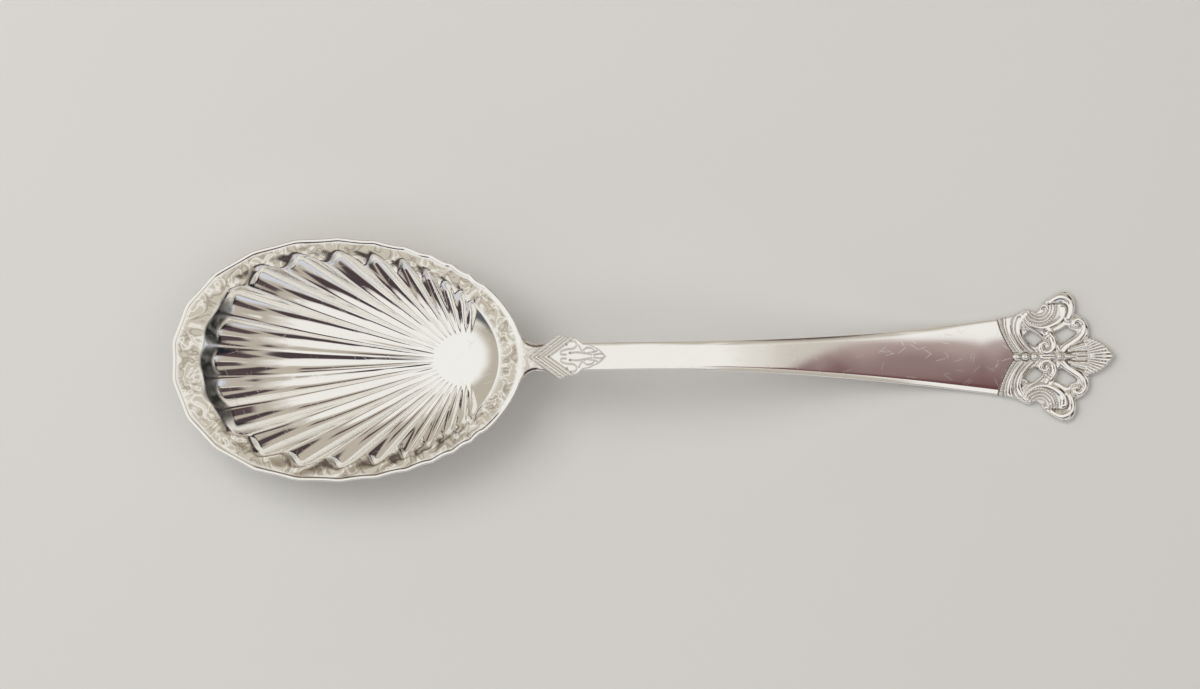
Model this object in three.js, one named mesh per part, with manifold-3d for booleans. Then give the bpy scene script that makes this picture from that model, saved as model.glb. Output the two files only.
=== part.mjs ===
// Potato serving spoon in silver: a shell-fluted bowl, a bevelled stem, a cast shoulder ornament
// and a pierced crown, soldered together. Millimetres. +X runs from the bowl to the crown, +Z is up,
// and the spoon lies on z = 0 with its length and width centred on the origin.

import * as THREE from 'three';
import { mergeVertices } from 'three/addons/utils/BufferGeometryUtils.js';
import Module from 'manifold-3d';

// Lengths along the axis, which add up to 240
const bowlTipReach = 39.7; // rim at the tip to the widest station
const bowlHeelReach = 48.9; // widest station to the rim at the heel
const neckLength = 7.4; // rim at the heel to the step of the lap joint
const stemLength = 114.2; // step of the lap joint to the crown's corners
const crownLength = 29.8; // corners to the tip of the palmette

// Bowl
const bowlHalfWidth = 30.8;
const tipPower = 2.1; // superellipse power of the outline's tip half
const heelPower = 2; // and of its heel half
const rimHeightTip = 16.6;
const rimHeightHeel = 20.2;
const bowlSheet = 1.0;
const bowlCurve = 2.1; // power of the hollow's profile
const flangeTip = 7.3; // width of the flange at the tip
const flangeSide = 4.9;
const flangeHeel = 5.5;
const flangeRise = 2.4;
const rimWidth = 1.1;
const rimRise = 0.3; // bead of the rim above the flange
const rimDrop = 0.7; // bead of the rim below it
const wearFlat = 0.35; // depth worn off the ribs that the bowl lies on

// Flutes, which fan out from a smooth boss at the heel
const flutesEachSide = 11;
const fluteCentreInset = 14.3; // rim at the heel to the point that the flutes fan out from
const bossRadius = 8;
const fluteDepth = 1.7;
const fluteGrowth = 22; // length over which a flute reaches its full depth
const fluteEndWall = 3.4;
const fluteStep = 7.45; // degrees from the middle flute to the next
const fluteSpread = 0.012; // widening of the steps with the square of their number
const ridgeSharpness = 1.6;
const scallopDepth = 0.3; // how far the rim bulges past each ridge

// Neck and stem
const neckHalfWidth = 3.5;
const neckFlare = 1.7; // widening where the neck leaves the bowl
const neckShoulder = 0.9; // widening where it meets the lap joint
const handleThickness = 3.2;
const stemEndThickness = 2.0;
const seatSlope = 0.16; // rise of the straight neck for each millimetre of length
const seatMargin = 1.3; // straight seat past the shoulder ornament
const stemHalfWidth = 3.56;
const stemEndHalfWidth = 9.8;
const stemParallel = 22.6; // length before the stem starts to widen
const bevelWidth = 1.2;
const bevelDrop = 0.5;
const backChamfer = 0.3;
const lyingLength = 4; // stretch before the crown that lies flat

// Solder joints
const lapLength = 11;
const jointGap = 0.3;
const solderThickness = 0.15;
const solderInset = 0.4;
const seatGap = 0.1; // under the shoulder ornament

// Shoulder ornament
const shoulderLead = 4.1; // tip of the lozenge in front of the lap joint's step
const shoulderLength = 17.8;
const shoulderHalfSpan = 5.8;
const shoulderPlate = 1.0;
const shoulderRelief = 0.4;

// Crown
const crownHalfSpan = 16.6;
const borderReach = 4.4; // depth of the stem's pointed end
const borderPower = 1.5; // curve of its two flanks
const borderSpread = 0.45; // how much wider the border's bands are at the axis and at the edge
const borderSteps = 24;
const crownRelief = 0.6;
const beadRadius = 0.95;
const beadHeight = 0.95;
const bossBeadRadius = 0.8;
const bossBeadHeight = 0.75;
const beadRecess = 0.15;
const beadGap = 0.1;
const reliefFoot = 0.4; // depth that raised work reaches into its plate
const beadSides = 20;

// The two motifs are drawn on grids of these sizes and stretched to the real ones. Their points run
// along the axis and then out from it, for the upper half.
const shoulderGrid = { length: 17.8, halfSpan: 5.8 };
const lozengeEdge = [[0, 0], [3, 2.75], [6.1, 5.8]];
const voluteEdge = [[6.1, 5.8], [7.2, 5.4], [8.3, 4.9], [9.5, 4.8], [10.6, 4.5], [11.6, 3.7], [12.2, 3.2]];
const leafEdge = [[12.2, 3.2], [13.6, 3.0], [15.2, 2.3], [16.7, 1.2], [17.8, 0]];
const shoulderWork = [
  { path: [[0.5, -0.2], [6.6, 5.6]], half: 0.3 }, // four chevrons
  { path: [[1.6, -0.2], [7.7, 5.6]], half: 0.3 },
  { path: [[2.7, -0.2], [8.8, 5.6]], half: 0.3 },
  { path: [[3.9, -0.2], [10.0, 5.6]], half: 0.3 },
  { path: [[8.4, 0.9], [11.2, 0.7], [13.4, 1.3], [15.2, 1.7]], half: 0.4 }, // leaf's veins
  { path: [[11.6, 1.9], [13.2, 2.1], [14.4, 2.3]], half: 0.4 },
  { path: [[7, 0.1], [17, 0.1]], half: 0.3 },
];
const shoulderVolute = { at: [9.4, 3.3], radius: 1.25 };

const crownGrid = { length: 29.8, halfSpan: 16.6 };
const hookEdge = [[0, 0], [3.8, 0.8], [5.9, 1.8], [7.3, 2.45], [8.5, 2.0], [9.4, 1.6]]; // from the corner
const lobeEdge = [[10.6, 12.1], [11.3, 13.3], [12.2, 14.3], [13.7, 15.2], [15.2, 16.1], [16.8, 16.6],
  [18.4, 16.2], [19.5, 15.0], [19.9, 13.2], [19.7, 11.1]];
const scrollEdge = [[19.7, 11.1], [20.9, 10.6], [22.4, 9.4], [23.2, 7.6], [23.35, 5.8], [23.4, 4.8]];
const palmetteEdge = [[23.4, 4.8], [25, 4.3], [26.8, 3.3], [28.5, 1.8], [29.8, 0]];
const pierced = [
  [[6.6, 5.1], [7.3, 5.75], [8.2, 6.65], [9.95, 5.75], [11.3, 4.3], [10.2, 3.6], [9.5, 2.65], [8.0, 3.75]],
  [[14.5, 6.05], [15.9, 6.75], [17.6, 7.7], [18.6, 6.8], [20.05, 6.1], [18.2, 4.6], [15.8, 3.2], [15.1, 4.6]],
];
const borderRidges = [
  { offset: 0.75, half: 0.4, share: 0.5 },
  { offset: 2.3, half: 0.5, share: 0.8 },
  { offset: 4.3, half: 0.6, share: 1 },
];
const reeds = { at: [10.4, 12.6], radii: [4.5, 3.5, 2.5], half: 0.36, from: 190, to: 375 };
const lobeRoll = [[12.8, 13.2], [14, 14.4], [15.6, 15.1], [17.1, 15.2], [18.3, 14.5], [18.7, 13.2],
  [18.4, 11.6]];
const crownWork = [
  { path: lobeRoll, half: 1.0 },
  { path: [[13.2, 8.7], [15.5, 9.5], [16.9, 10.9], [17.0, 12.6]], half: 1.3 }, // leaf inside the lobe's roll
  { path: [[12.4, 7.6], [13.6, 6.1], [14.0, 4.4], [13.7, 2.6]], half: 0.75 }, // stalk between the openings
  { path: [[16.4, 1.6], [18.4, 3.5], [20.6, 4.9], [22.1, 6.4], [22.3, 8.2], [21.2, 9.4]], half: 0.7 },
  { path: [[17.9, 1.6], [20, 2.4], [22.3, 2.5]], half: 0.7 }, // side petal
  { path: [[22.6, 0.75], [25.7, 1.2]], half: 0.24 }, // ribs of the palmette
  { path: [[22.6, 1.5], [25.3, 2.1]], half: 0.24 },
  { path: [[22.6, 2.25], [24.9, 3.0]], half: 0.24 },
  { path: [[22.6, 3.0], [24.5, 3.9]], half: 0.24 },
  { path: [[10.4, 0.1], [17, 0.1]], half: 0.3 }, // bar from the beads to the boss
  { path: [[16.8, 0.1], [28.4, 0.1]], half: 0.45 }, // middle petal
];
const crownVolutes = [{ at: [12.2, 2.4], radius: 1.5 }, { at: [19.7, 8.5], radius: 1.3 }];
const beadSpots = [4.8, 7.0, 9.4];
const bossSpot = 15.8;

// Places along the axis that follow from the lengths
const overallLength = bowlTipReach + bowlHeelReach + neckLength + stemLength + crownLength;
const tipX = -overallLength / 2;
const widestX = tipX + bowlTipReach;
const heelX = widestX + bowlHeelReach;
const fluteX = heelX - fluteCentreInset;
const stemX = heelX + neckLength;
const lapEndX = stemX + lapLength;
const crownX = stemX + stemLength;
const shoulderX = stemX - shoulderLead;
const seatEndX = shoulderX + shoulderLength + seatMargin;
const lyingX = crownX - lyingLength;

const { lerp, smoothstep, degToRad } = THREE.MathUtils;
const wasm = await Module();
wasm.setup();

// Closed bodies and booleans

function centreOf(ring) {
  const centre = new THREE.Vector3();
  ring.forEach((point) => centre.add(point));
  return centre.divideScalar(ring.length);
}

function signedVolume(points, triangles) {
  let volume = 0;
  for (let i = 0; i < triangles.length; i += 3) {
    const [a, b, c] = [0, 1, 2].map((corner) => points[triangles[i + corner]]);
    volume += a.dot(new THREE.Vector3().crossVectors(b, c)) / 6;
  }
  return volume;
}

// Skin over a row of equal rings, closed by a fan at each end, with its faces turned outwards
function skin(rings) {
  const count = rings[0].length;
  const points = [...rings.flat(), centreOf(rings[0]), centreOf(rings.at(-1))];
  const firstPole = points.length - 2;
  const lastPole = points.length - 1;
  const lastRow = (rings.length - 1) * count;
  const triangles = [];
  for (let j = 0; j < count; j += 1) {
    const next = (j + 1) % count;
    triangles.push(firstPole, next, j, lastPole, lastRow + j, lastRow + next);
    for (let row = 0; row < lastRow; row += count) {
      triangles.push(row + j, row + next, row + count + next);
      triangles.push(row + j, row + count + next, row + count + j);
    }
  }
  if (signedVolume(points, triangles) < 0) {
    triangles.reverse();
  }
  const geometry = new THREE.BufferGeometry().setFromPoints(points);
  geometry.setIndex(triangles);
  return geometry;
}

function solid(geometry) {
  const bare = geometry.clone();
  bare.deleteAttribute('normal');
  bare.deleteAttribute('uv');
  const merged = mergeVertices(bare, 1e-4);
  return new wasm.Manifold(new wasm.Mesh({
    numProp: 3,
    vertProperties: new Float32Array(merged.attributes.position.array),
    triVerts: new Uint32Array(merged.index.array),
  }));
}

function geometryOf(body) {
  const { vertProperties, triVerts } = body.getMesh();
  const geometry = new THREE.BufferGeometry();
  geometry.setAttribute('position', new THREE.BufferAttribute(vertProperties, 3));
  geometry.setIndex(new THREE.BufferAttribute(triVerts, 1));
  geometry.computeVertexNormals();
  return geometry;
}

function joined(bodies) {
  return bodies.reduce((whole, body) => whole.add(body));
}

function box(low, high) {
  const size = new THREE.Vector3().subVectors(high, low);
  const centre = new THREE.Vector3().addVectors(low, high).multiplyScalar(0.5);
  const geometry = new THREE.BoxGeometry(size.x, size.y, size.z);
  return geometry.translate(centre.x, centre.y, centre.z);
}

// Handle's shape: a straight seat at the neck, then one long curve down to the crown

function handleTop(x) {
  const seatEndHeight = rimHeightHeel + seatSlope * (seatEndX - heelX);
  if (x <= seatEndX) {
    return seatEndHeight + seatSlope * (x - seatEndX);
  }
  const run = lyingX - seatEndX;
  const t = Math.min((x - seatEndX) / run, 1);
  const fall = 1 - t * t * (3 - 2 * t);
  const lift = t * (1 - t) * (1 - t) * run * seatSlope;
  return stemEndThickness + fall * (seatEndHeight - stemEndThickness) + lift;
}

function handleDepth(x) {
  return lerp(handleThickness, stemEndThickness, smoothstep(x, seatEndX, lyingX));
}

function stemHalf(x) {
  const t = Math.max(0, (x - stemX - stemParallel) / (stemLength - stemParallel));
  return lerp(stemHalfWidth, stemEndHalfWidth, t * t);
}

// Six-sided cross-section with its top edges chamfered
function section(x, half, top, bottom, lean = 0) {
  const corners = [[half, bottom], [half, top - bevelDrop], [half - bevelWidth, top]];
  const ring = [...corners, ...corners.map(([y, z]) => [-y, z]).reverse()];
  return ring.map(([y, z]) => new THREE.Vector3(x + lean * (z - top), y, z));
}

// Flat strip of the lap joint, parallel to the seat, between two heights below the handle's top
function lapStrip(startX, endX, half, upper, lower) {
  return skin([startX, endX].map((x) => [[half, lower], [half, upper], [-half, upper], [-half, lower]]
    .map(([y, drop]) => new THREE.Vector3(x, y, handleTop(x) - drop))));
}

// Bowl

const floorHeight = bowlSheet + fluteDepth - wearFlat;

// The bowl's two outlines in plan, as reaches from the middle of the widest station
const rimOutline = { tip: bowlTipReach, heel: bowlHeelReach, half: bowlHalfWidth };
const hollowOutline = {
  tip: bowlTipReach - flangeTip,
  heel: bowlHeelReach - flangeHeel,
  half: bowlHalfWidth - flangeSide,
};

function rimHeight(x) {
  return lerp(rimHeightTip, rimHeightHeel, (x - tipX) / (heelX - tipX));
}

// Distance of a point from the middle of an outline as a share: 1 on the outline
function outlineShare(outline, x, y) {
  const onTip = x < widestX;
  const power = onTip ? tipPower : heelPower;
  const along = Math.abs((x - widestX) / (onTip ? outline.tip : outline.heel));
  const across = Math.abs(y / outline.half);
  return Math.pow(Math.pow(along, power) + Math.pow(across, power), 1 / power);
}

function rayPoint(angle, distance) {
  return [fluteX - distance * Math.cos(angle), distance * Math.sin(angle)];
}

// Distance from the flutes' centre to an outline, found by halving
function rayLength(outline, angle) {
  const halvings = 50;
  let inside = 0;
  let outside = 2 * (bowlTipReach + bowlHeelReach + bowlHalfWidth);
  for (let i = 0; i < halvings; i += 1) {
    const middle = (inside + outside) / 2;
    if (outlineShare(outline, ...rayPoint(angle, middle)) < 1) {
      inside = middle;
    } else {
      outside = middle;
    }
  }
  return inside;
}

function fluteAngle(number) {
  return degToRad(number * (fluteStep + fluteSpread * number ** 2));
}

// Rays from the flutes' centre: four to a flute, and evenly spaced round the smooth heel. channel is
// 1 in the middle of a flute and 0 on a ridge.
function bowlRays() {
  const raysPerFlute = 4;
  const heelSteps = 16;
  const last = flutesEachSide + 0.5;
  const rays = [];
  for (let i = -last * raysPerFlute; i <= last * raysPerFlute; i += 1) {
    const number = i / raysPerFlute;
    const ridgeShare = Math.pow(Math.sin(Math.PI * number) ** 2, ridgeSharpness);
    rays.push({ angle: fluteAngle(number), channel: 1 - ridgeShare });
  }
  const heelStart = fluteAngle(last);
  for (let i = 1; i < heelSteps; i += 1) {
    rays.push({ angle: lerp(heelStart, 2 * Math.PI - heelStart, i / heelSteps), channel: 0 });
  }
  return rays.map(({ angle, channel }) => {
    const rim = rayLength(rimOutline, angle) + scallopDepth * (1 - channel);
    const hollow = rayLength(hollowOutline, angle);
    const wall = Math.min(fluteEndWall, 0.25 * hollow);
    const boss = Math.min(bossRadius, 0.6 * (hollow - wall));
    return { angle, channel, rim, hollow, wall, boss };
  });
}

// Height of the ridges: a hollow inside the flange, and the rising flange
function ridgeHeight(ray, distance) {
  const [x, y] = rayPoint(ray.angle, distance);
  if (distance > ray.hollow) {
    return rimHeight(x) - flangeRise * (ray.rim - distance) / (ray.rim - ray.hollow);
  }
  const rise = rimHeight(x) - flangeRise - floorHeight;
  return floorHeight + rise * Math.pow(outlineShare(hollowOutline, x, y), bowlCurve);
}

// Height of the inside, with the flutes sunk below the ridges and closed by a wall at the flange
function innerHeight(ray, distance) {
  const growth = smoothstep(distance, ray.boss, ray.boss + fluteGrowth);
  const wall = 1 - smoothstep(distance, ray.hollow - ray.wall, ray.hollow);
  return ridgeHeight(ray, distance) - fluteDepth * ray.channel * growth * wall;
}

// Sheet's depth measured straight down, which grows with the slope
function sheetDrop(ray, distance) {
  const reach = 0.5;
  const before = ridgeHeight(ray, Math.max(0, distance - reach));
  const slope = (ridgeHeight(ray, distance) - before) / reach;
  return bowlSheet * Math.hypot(1, slope);
}

// Shell of the bowl as rings: out along the inside, over the rim and back along the outside
function bowlShell() {
  const rays = bowlRays();
  const ring = (place) => rays.map((ray) => {
    const [distance, height] = place(ray);
    const [x, y] = rayPoint(ray.angle, distance);
    return new THREE.Vector3(x, y, height);
  });
  const rowsToWall = 5;
  const stations = [(ray) => 0.55 * ray.boss];
  for (let i = 0; i <= rowsToWall; i += 1) {
    stations.push((ray) => lerp(ray.boss, ray.hollow - ray.wall, i / rowsToWall));
  }
  stations.push((ray) => ray.hollow - 0.45 * ray.wall);
  stations.push((ray) => ray.hollow);
  stations.push((ray) => ray.rim - rimWidth);
  const inside = stations.map((at) => ring((ray) => [at(ray), innerHeight(ray, at(ray))]));
  const outside = stations.map((at) => ring((ray) => {
    const distance = at(ray);
    return [distance, innerHeight(ray, distance) - sheetDrop(ray, distance)];
  }));
  const beadRing = ([inset, lift]) => ring((ray) => {
    const [x] = rayPoint(ray.angle, ray.rim);
    return [ray.rim - inset * rimWidth, rimHeight(x) + lift];
  });
  const rimBead = [[0.7, rimRise], [0.3, rimRise], [0, 0], [0.1, -rimDrop]].map(beadRing);
  return skin([...inside, ...rimBead, ...outside.reverse()]);
}

// Neck from the rim to the step of the lap joint. Its front leans back under the rim.
function neckBar() {
  const steps = 8;
  const frontX = heelX - 0.2 * neckFlare;
  const lean = 0.5;
  const rings = [];
  for (let i = 0; i <= steps; i += 1) {
    const t = i / steps;
    const x = lerp(frontX, stemX, t);
    const toBowl = Math.max(0, 1 - 2 * t);
    const toStep = Math.max(0, 2 * t - 1);
    const half = neckHalfWidth + neckFlare * toBowl ** 2 + neckShoulder * toStep ** 2;
    const top = handleTop(x);
    rings.push(section(x, half, top, top - handleThickness, lean * (1 - t)));
  }
  return skin(rings);
}

const tabTop = (handleThickness + jointGap) / 2; // below the handle's top
const tongueBottom = (handleThickness - jointGap) / 2;

function bowl() {
  const tabHalf = neckHalfWidth - backChamfer;
  const tab = lapStrip(stemX - jointGap, lapEndX - jointGap, tabHalf, tabTop, handleThickness);
  const ground = box(
    new THREE.Vector3(tipX, -bowlHalfWidth, -2 * wearFlat - 1),
    new THREE.Vector3(heelX, bowlHalfWidth, 0),
  );
  const whole = joined([solid(bowlShell()), solid(neckBar()), solid(tab)]);
  return geometryOf(whole.subtract(solid(ground)));
}

// Places on the two motifs, as points of the plan

function crownSpot([s, t]) {
  const along = crownLength / crownGrid.length;
  const across = crownHalfSpan / crownGrid.halfSpan;
  return new THREE.Vector2(crownX + s * along, t * across);
}

function shoulderSpot([s, t]) {
  const along = shoulderLength / shoulderGrid.length;
  const across = shoulderHalfSpan / shoulderGrid.halfSpan;
  return new THREE.Vector2(shoulderX + s * along, t * across);
}

// Smooth line through points, with a few steps between each two of them
function smoothLine(points) {
  const steps = points.length > 2 ? Math.round(2.4 * (points.length - 1)) : 1;
  return new THREE.SplineCurve(points).getPoints(steps);
}

function mirrored(points) {
  return points.map((point) => new THREE.Vector2(point.x, -point.y));
}

// Outline of a whole motif from its upper half, which starts and ends on or beside the axis
function bothHalves(stretches) {
  const upper = stretches.flatMap((points, i) => smoothLine(points).slice(i === 0 ? 0 : 1));
  return [...upper, ...mirrored(upper).reverse().slice(1)];
}

// Plate of an outline, which is drawn counter-clockwise whichever way its points run
function plate(outline, holes, height) {
  const clockwise = THREE.ShapeUtils.isClockWise(outline);
  const shape = new THREE.Shape(clockwise ? [...outline].reverse() : outline);
  holes.forEach((hole) => shape.holes.push(new THREE.Path(hole)));
  return solid(new THREE.ExtrudeGeometry(shape, { depth: height, bevelEnabled: false }));
}

// Raised line along a path on a plate's top, with sloping sides
function ridge(path, half, base, height) {
  const upperSide = [[-half, -reliefFoot], [-half, 0], [-0.5 * half, height]];
  const profile = [...upperSide, ...upperSide.map(([side, up]) => [-side, up]).reverse()];
  const rings = path.map((point, i) => {
    const before = path[Math.max(0, i - 1)];
    const after = path[Math.min(path.length - 1, i + 1)];
    const along = new THREE.Vector2().subVectors(after, before).normalize();
    const place = ([side, up]) => [point.x - side * along.y, point.y + side * along.x, base + up];
    return profile.map((corner) => new THREE.Vector3(...place(corner)));
  });
  return solid(skin(rings));
}

function ridgePair(path, half, base, height) {
  return [ridge(path, half, base, height), ridge(mirrored(path), half, base, height)];
}

// Domed disc standing on the height base, with its foot below it
function dome(radius, height, foot, spot, base) {
  const profile = [[0, -foot], [radius, -foot], [radius, 0], [0.8 * radius, 0.6 * height],
    [0.45 * radius, 0.9 * height], [0, height]];
  const geometry = new THREE.LatheGeometry(profile.map(([r, z]) => new THREE.Vector2(r, z)), beadSides);
  return geometry.rotateX(Math.PI / 2).translate(spot.x, spot.y, base);
}

function domePair(radius, height, spot, base) {
  return [spot, ...mirrored([spot])].map((place) => solid(dome(radius, height, reliefFoot, place, base)));
}

// Plate with raised work: the outline cuts both the slab and the work to the same edge
function struckPlate(outline, holes, thickness, relief, work) {
  const reach = 2 * overallLength;
  const slab = box(new THREE.Vector3(-reach, -reach, -1), new THREE.Vector3(reach, reach, thickness));
  return plate(outline, holes, thickness + 2 * relief).intersect(joined([solid(slab), ...work]));
}

// Border between the stem and the crown: each half runs from the edge in to a point on the axis
function borderX(y) {
  const inward = Math.max(0, 1 - Math.abs(y) / stemEndHalfWidth);
  return crownX + borderReach * Math.pow(inward, borderPower);
}

function borderLine(offset, startY, endY, steps) {
  const points = [];
  for (let i = 0; i <= steps; i += 1) {
    const y = lerp(startY, endY, i / steps);
    const spread = 1 + borderSpread * (2 * Math.abs(y) / stemEndHalfWidth - 1) ** 2;
    points.push(new THREE.Vector2(borderX(y) + offset * spread, y));
  }
  return points;
}

// Crown

function crownOutline() {
  const corner = stemEndHalfWidth * crownGrid.halfSpan / crownHalfSpan;
  const hook = hookEdge.map(([s, t]) => [s, corner + t]);
  const stretches = [hook, [hook.at(-1), ...lobeEdge], scrollEdge, palmetteEdge];
  const border = borderLine(0, -stemEndHalfWidth, stemEndHalfWidth, borderSteps).slice(1, -1);
  return [...bothHalves(stretches.map((points) => points.map(crownSpot))), ...border];
}

function crownHoles() {
  const upper = pierced.map((hole) => hole.map(crownSpot));
  return [...upper, ...upper.map(mirrored)];
}

function reedArc(radius) {
  const steps = 16;
  const centre = crownSpot(reeds.at);
  const points = [];
  for (let i = 0; i <= steps; i += 1) {
    const angle = degToRad(lerp(reeds.from, reeds.to, i / steps));
    points.push(new THREE.Vector2(Math.cos(angle), Math.sin(angle)).multiplyScalar(radius).add(centre));
  }
  return points;
}

function crownRelievedWork() {
  const top = stemEndThickness;
  const borders = borderRidges.flatMap(({ offset, half, share }) => {
    const line = borderLine(offset, 0.2, 1.2 * stemEndHalfWidth, borderSteps / 2);
    return ridgePair(line, half, top, share * crownRelief);
  });
  const reeding = reeds.radii.flatMap((radius) => ridgePair(reedArc(radius), reeds.half, top, crownRelief));
  const lines = crownWork.flatMap(({ path, half }) => (
    ridgePair(smoothLine(path.map(crownSpot)), half, top, crownRelief)));
  const volutes = crownVolutes.flatMap(({ at, radius }) => domePair(radius, crownRelief, crownSpot(at), top));
  return [...borders, ...reeding, ...lines, ...volutes];
}

const beadPlaces = beadSpots.map((s) => crownSpot([s, 0]));
const bossPlace = crownSpot([bossSpot, 0]);

// Round recesses that the beads and the boss are soldered into
function beadRecesses() {
  const height = beadRecess + 2 * crownRelief + 1;
  const cutter = (radius, spot) => {
    const geometry = new THREE.CylinderGeometry(radius + beadGap, radius + beadGap, height, beadSides);
    geometry.rotateX(Math.PI / 2);
    return solid(geometry.translate(spot.x, spot.y, stemEndThickness - beadRecess + height / 2));
  };
  return joined([...beadPlaces.map((spot) => cutter(beadRadius, spot)), cutter(bossBeadRadius, bossPlace)]);
}

function bead(radius, height, spot) {
  return dome(radius, height, 0, spot, stemEndThickness - beadRecess + beadGap / 2);
}

function crown() {
  const work = crownRelievedWork();
  const struck = struckPlate(crownOutline(), crownHoles(), stemEndThickness, crownRelief, work);
  return geometryOf(struck.subtract(beadRecesses()));
}

const solderClearance = (jointGap - solderThickness) / 2;

// Border moved back towards the stem
function shiftedBorder(shift, half, steps) {
  return borderLine(0, -half, half, steps).map((point) => new THREE.Vector2(point.x - shift, point.y));
}

// Solder seam along the border, between the stem's end and the crown
function crownSolder() {
  const half = stemEndHalfWidth - solderInset;
  const front = shiftedBorder(solderClearance, half, borderSteps);
  const back = shiftedBorder(solderClearance + solderThickness, half, borderSteps);
  const seam = plate([...front, ...back.reverse()], [], stemEndThickness - bevelDrop);
  return geometryOf(seam.subtract(beadRecesses()));
}

// Stem

function stem() {
  const steps = 40;
  const startX = stemX + jointGap;
  const endX = crownX + borderReach + 1;
  const rings = [];
  for (let i = 0; i <= steps; i += 1) {
    const x = lerp(startX, endX, i / steps);
    rings.push(section(x, stemHalf(x), handleTop(x), handleTop(x) - handleDepth(x)));
  }
  const lapCut = lapStrip(stemX - 1, lapEndX, 2 * stemHalfWidth, tongueBottom, 2 * handleThickness);
  const wide = 2 * stemEndHalfWidth;
  const beyond = [new THREE.Vector2(endX + 1, -wide), new THREE.Vector2(endX + 1, wide)];
  const ending = [...beyond, ...shiftedBorder(jointGap, wide, 2 * borderSteps).reverse()];
  const endCut = plate(ending, [], 3 * stemEndThickness).translate([0, 0, -stemEndThickness]);
  const bar = solid(skin(rings)).subtract(solid(lapCut)).subtract(endCut);
  return geometryOf(bar.subtract(beadRecesses()));
}

function neckSolder() {
  const half = stemHalfWidth - solderInset;
  const upper = tongueBottom + solderClearance;
  return lapStrip(stemX + jointGap, lapEndX - 2 * jointGap, half, upper, upper + solderThickness);
}

// Shoulder ornament, drawn flat and then laid on the straight seat

function shoulderRelievedWork() {
  const top = shoulderPlate;
  const lines = shoulderWork.flatMap(({ path, half }) => (
    ridgePair(smoothLine(path.map(shoulderSpot)), half, top, shoulderRelief)));
  const { at, radius } = shoulderVolute;
  return [...lines, ...domePair(radius, shoulderRelief, shoulderSpot(at), top)];
}

function shoulderOrnament() {
  const stretches = [lozengeEdge, voluteEdge, leafEdge].map((points) => points.map(shoulderSpot));
  const outline = bothHalves(stretches).slice(0, -1);
  const struck = struckPlate(outline, [], shoulderPlate, shoulderRelief, shoulderRelievedWork());
  const seat = new THREE.Matrix4().makeShear(0, seatSlope, 0, 0, 0, 0);
  const lift = handleTop(shoulderX) - seatSlope * shoulderX + seatGap;
  return geometryOf(struck).applyMatrix4(seat).translate(0, 0, lift);
}

// The spoon's pieces, each with its own material

const spoon = new THREE.Group();

function addPiece(name, geometry, color, roughness) {
  const material = new THREE.MeshStandardMaterial({ color, roughness, metalness: 1 });
  const piece = new THREE.Mesh(geometry, material);
  piece.name = name;
  spoon.add(piece);
}

addPiece('bowl', bowl(), 0xe6e1d6, 0.14);
addPiece('neck_solder', neckSolder(), 0xd2ccc0, 0.35);
addPiece('stem', stem(), 0xe8e3da, 0.16);
addPiece('shoulder_ornament', shoulderOrnament(), 0xdfd9cd, 0.24);
addPiece('crown_solder', crownSolder(), 0xd2ccc0, 0.35);
addPiece('crown', crown(), 0xdfd9cd, 0.24);
beadPlaces.forEach((spot, i) => {
  addPiece(`crown_bead_${i + 1}`, bead(beadRadius, beadHeight, spot), 0xe9e5dd, 0.18);
});
addPiece('crown_boss', bead(bossBeadRadius, bossBeadHeight, bossPlace), 0xe9e5dd, 0.18);

export default spoon;
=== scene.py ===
import math

import bpy
import numpy as np
from mathutils import Matrix, Vector


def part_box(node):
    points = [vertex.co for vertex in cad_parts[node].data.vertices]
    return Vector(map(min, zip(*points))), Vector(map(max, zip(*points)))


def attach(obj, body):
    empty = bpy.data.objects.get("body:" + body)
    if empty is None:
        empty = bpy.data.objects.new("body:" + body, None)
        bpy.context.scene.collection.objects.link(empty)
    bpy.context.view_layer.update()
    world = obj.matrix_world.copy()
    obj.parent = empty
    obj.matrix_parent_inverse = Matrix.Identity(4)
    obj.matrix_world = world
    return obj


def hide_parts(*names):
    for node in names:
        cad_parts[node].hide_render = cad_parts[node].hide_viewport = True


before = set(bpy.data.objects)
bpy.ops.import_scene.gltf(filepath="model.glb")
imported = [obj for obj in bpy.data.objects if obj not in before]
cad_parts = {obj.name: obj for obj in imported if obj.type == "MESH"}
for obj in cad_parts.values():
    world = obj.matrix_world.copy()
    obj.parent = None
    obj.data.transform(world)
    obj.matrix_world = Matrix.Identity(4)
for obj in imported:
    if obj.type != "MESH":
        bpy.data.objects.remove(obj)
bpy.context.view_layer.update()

# Silver potato serving spoon. Shapes are worked out in millimetres, in the frame of the CAD model:
# +X runs from the bowl to the crown, +Z is up, and the spoon lies on z = 0.

MM = 0.001


def node_box(name):
    """Lowest and highest corner of a CAD node in millimetres."""
    low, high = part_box(name)
    return np.array(low) / MM, np.array(high) / MM


STEM_LOW = node_box("stem")[0]
SHOULDER_LOW, SHOULDER_HIGH = node_box("shoulder_ornament")
CROWN_LOW = node_box("crown")[0]

# Lengths along the axis
TIP_REACH = 39.7
HEEL_REACH = 48.9
NECK_LENGTH = 7.4
JOINT_GAP = 0.3
STEM_X = STEM_LOW[0] - JOINT_GAP
HEEL_X = STEM_X - NECK_LENGTH
WIDEST_X = HEEL_X - HEEL_REACH
TIP_X = WIDEST_X - TIP_REACH
CROWN_X = CROWN_LOW[0]
SHOULDER_X = SHOULDER_LOW[0]

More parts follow.
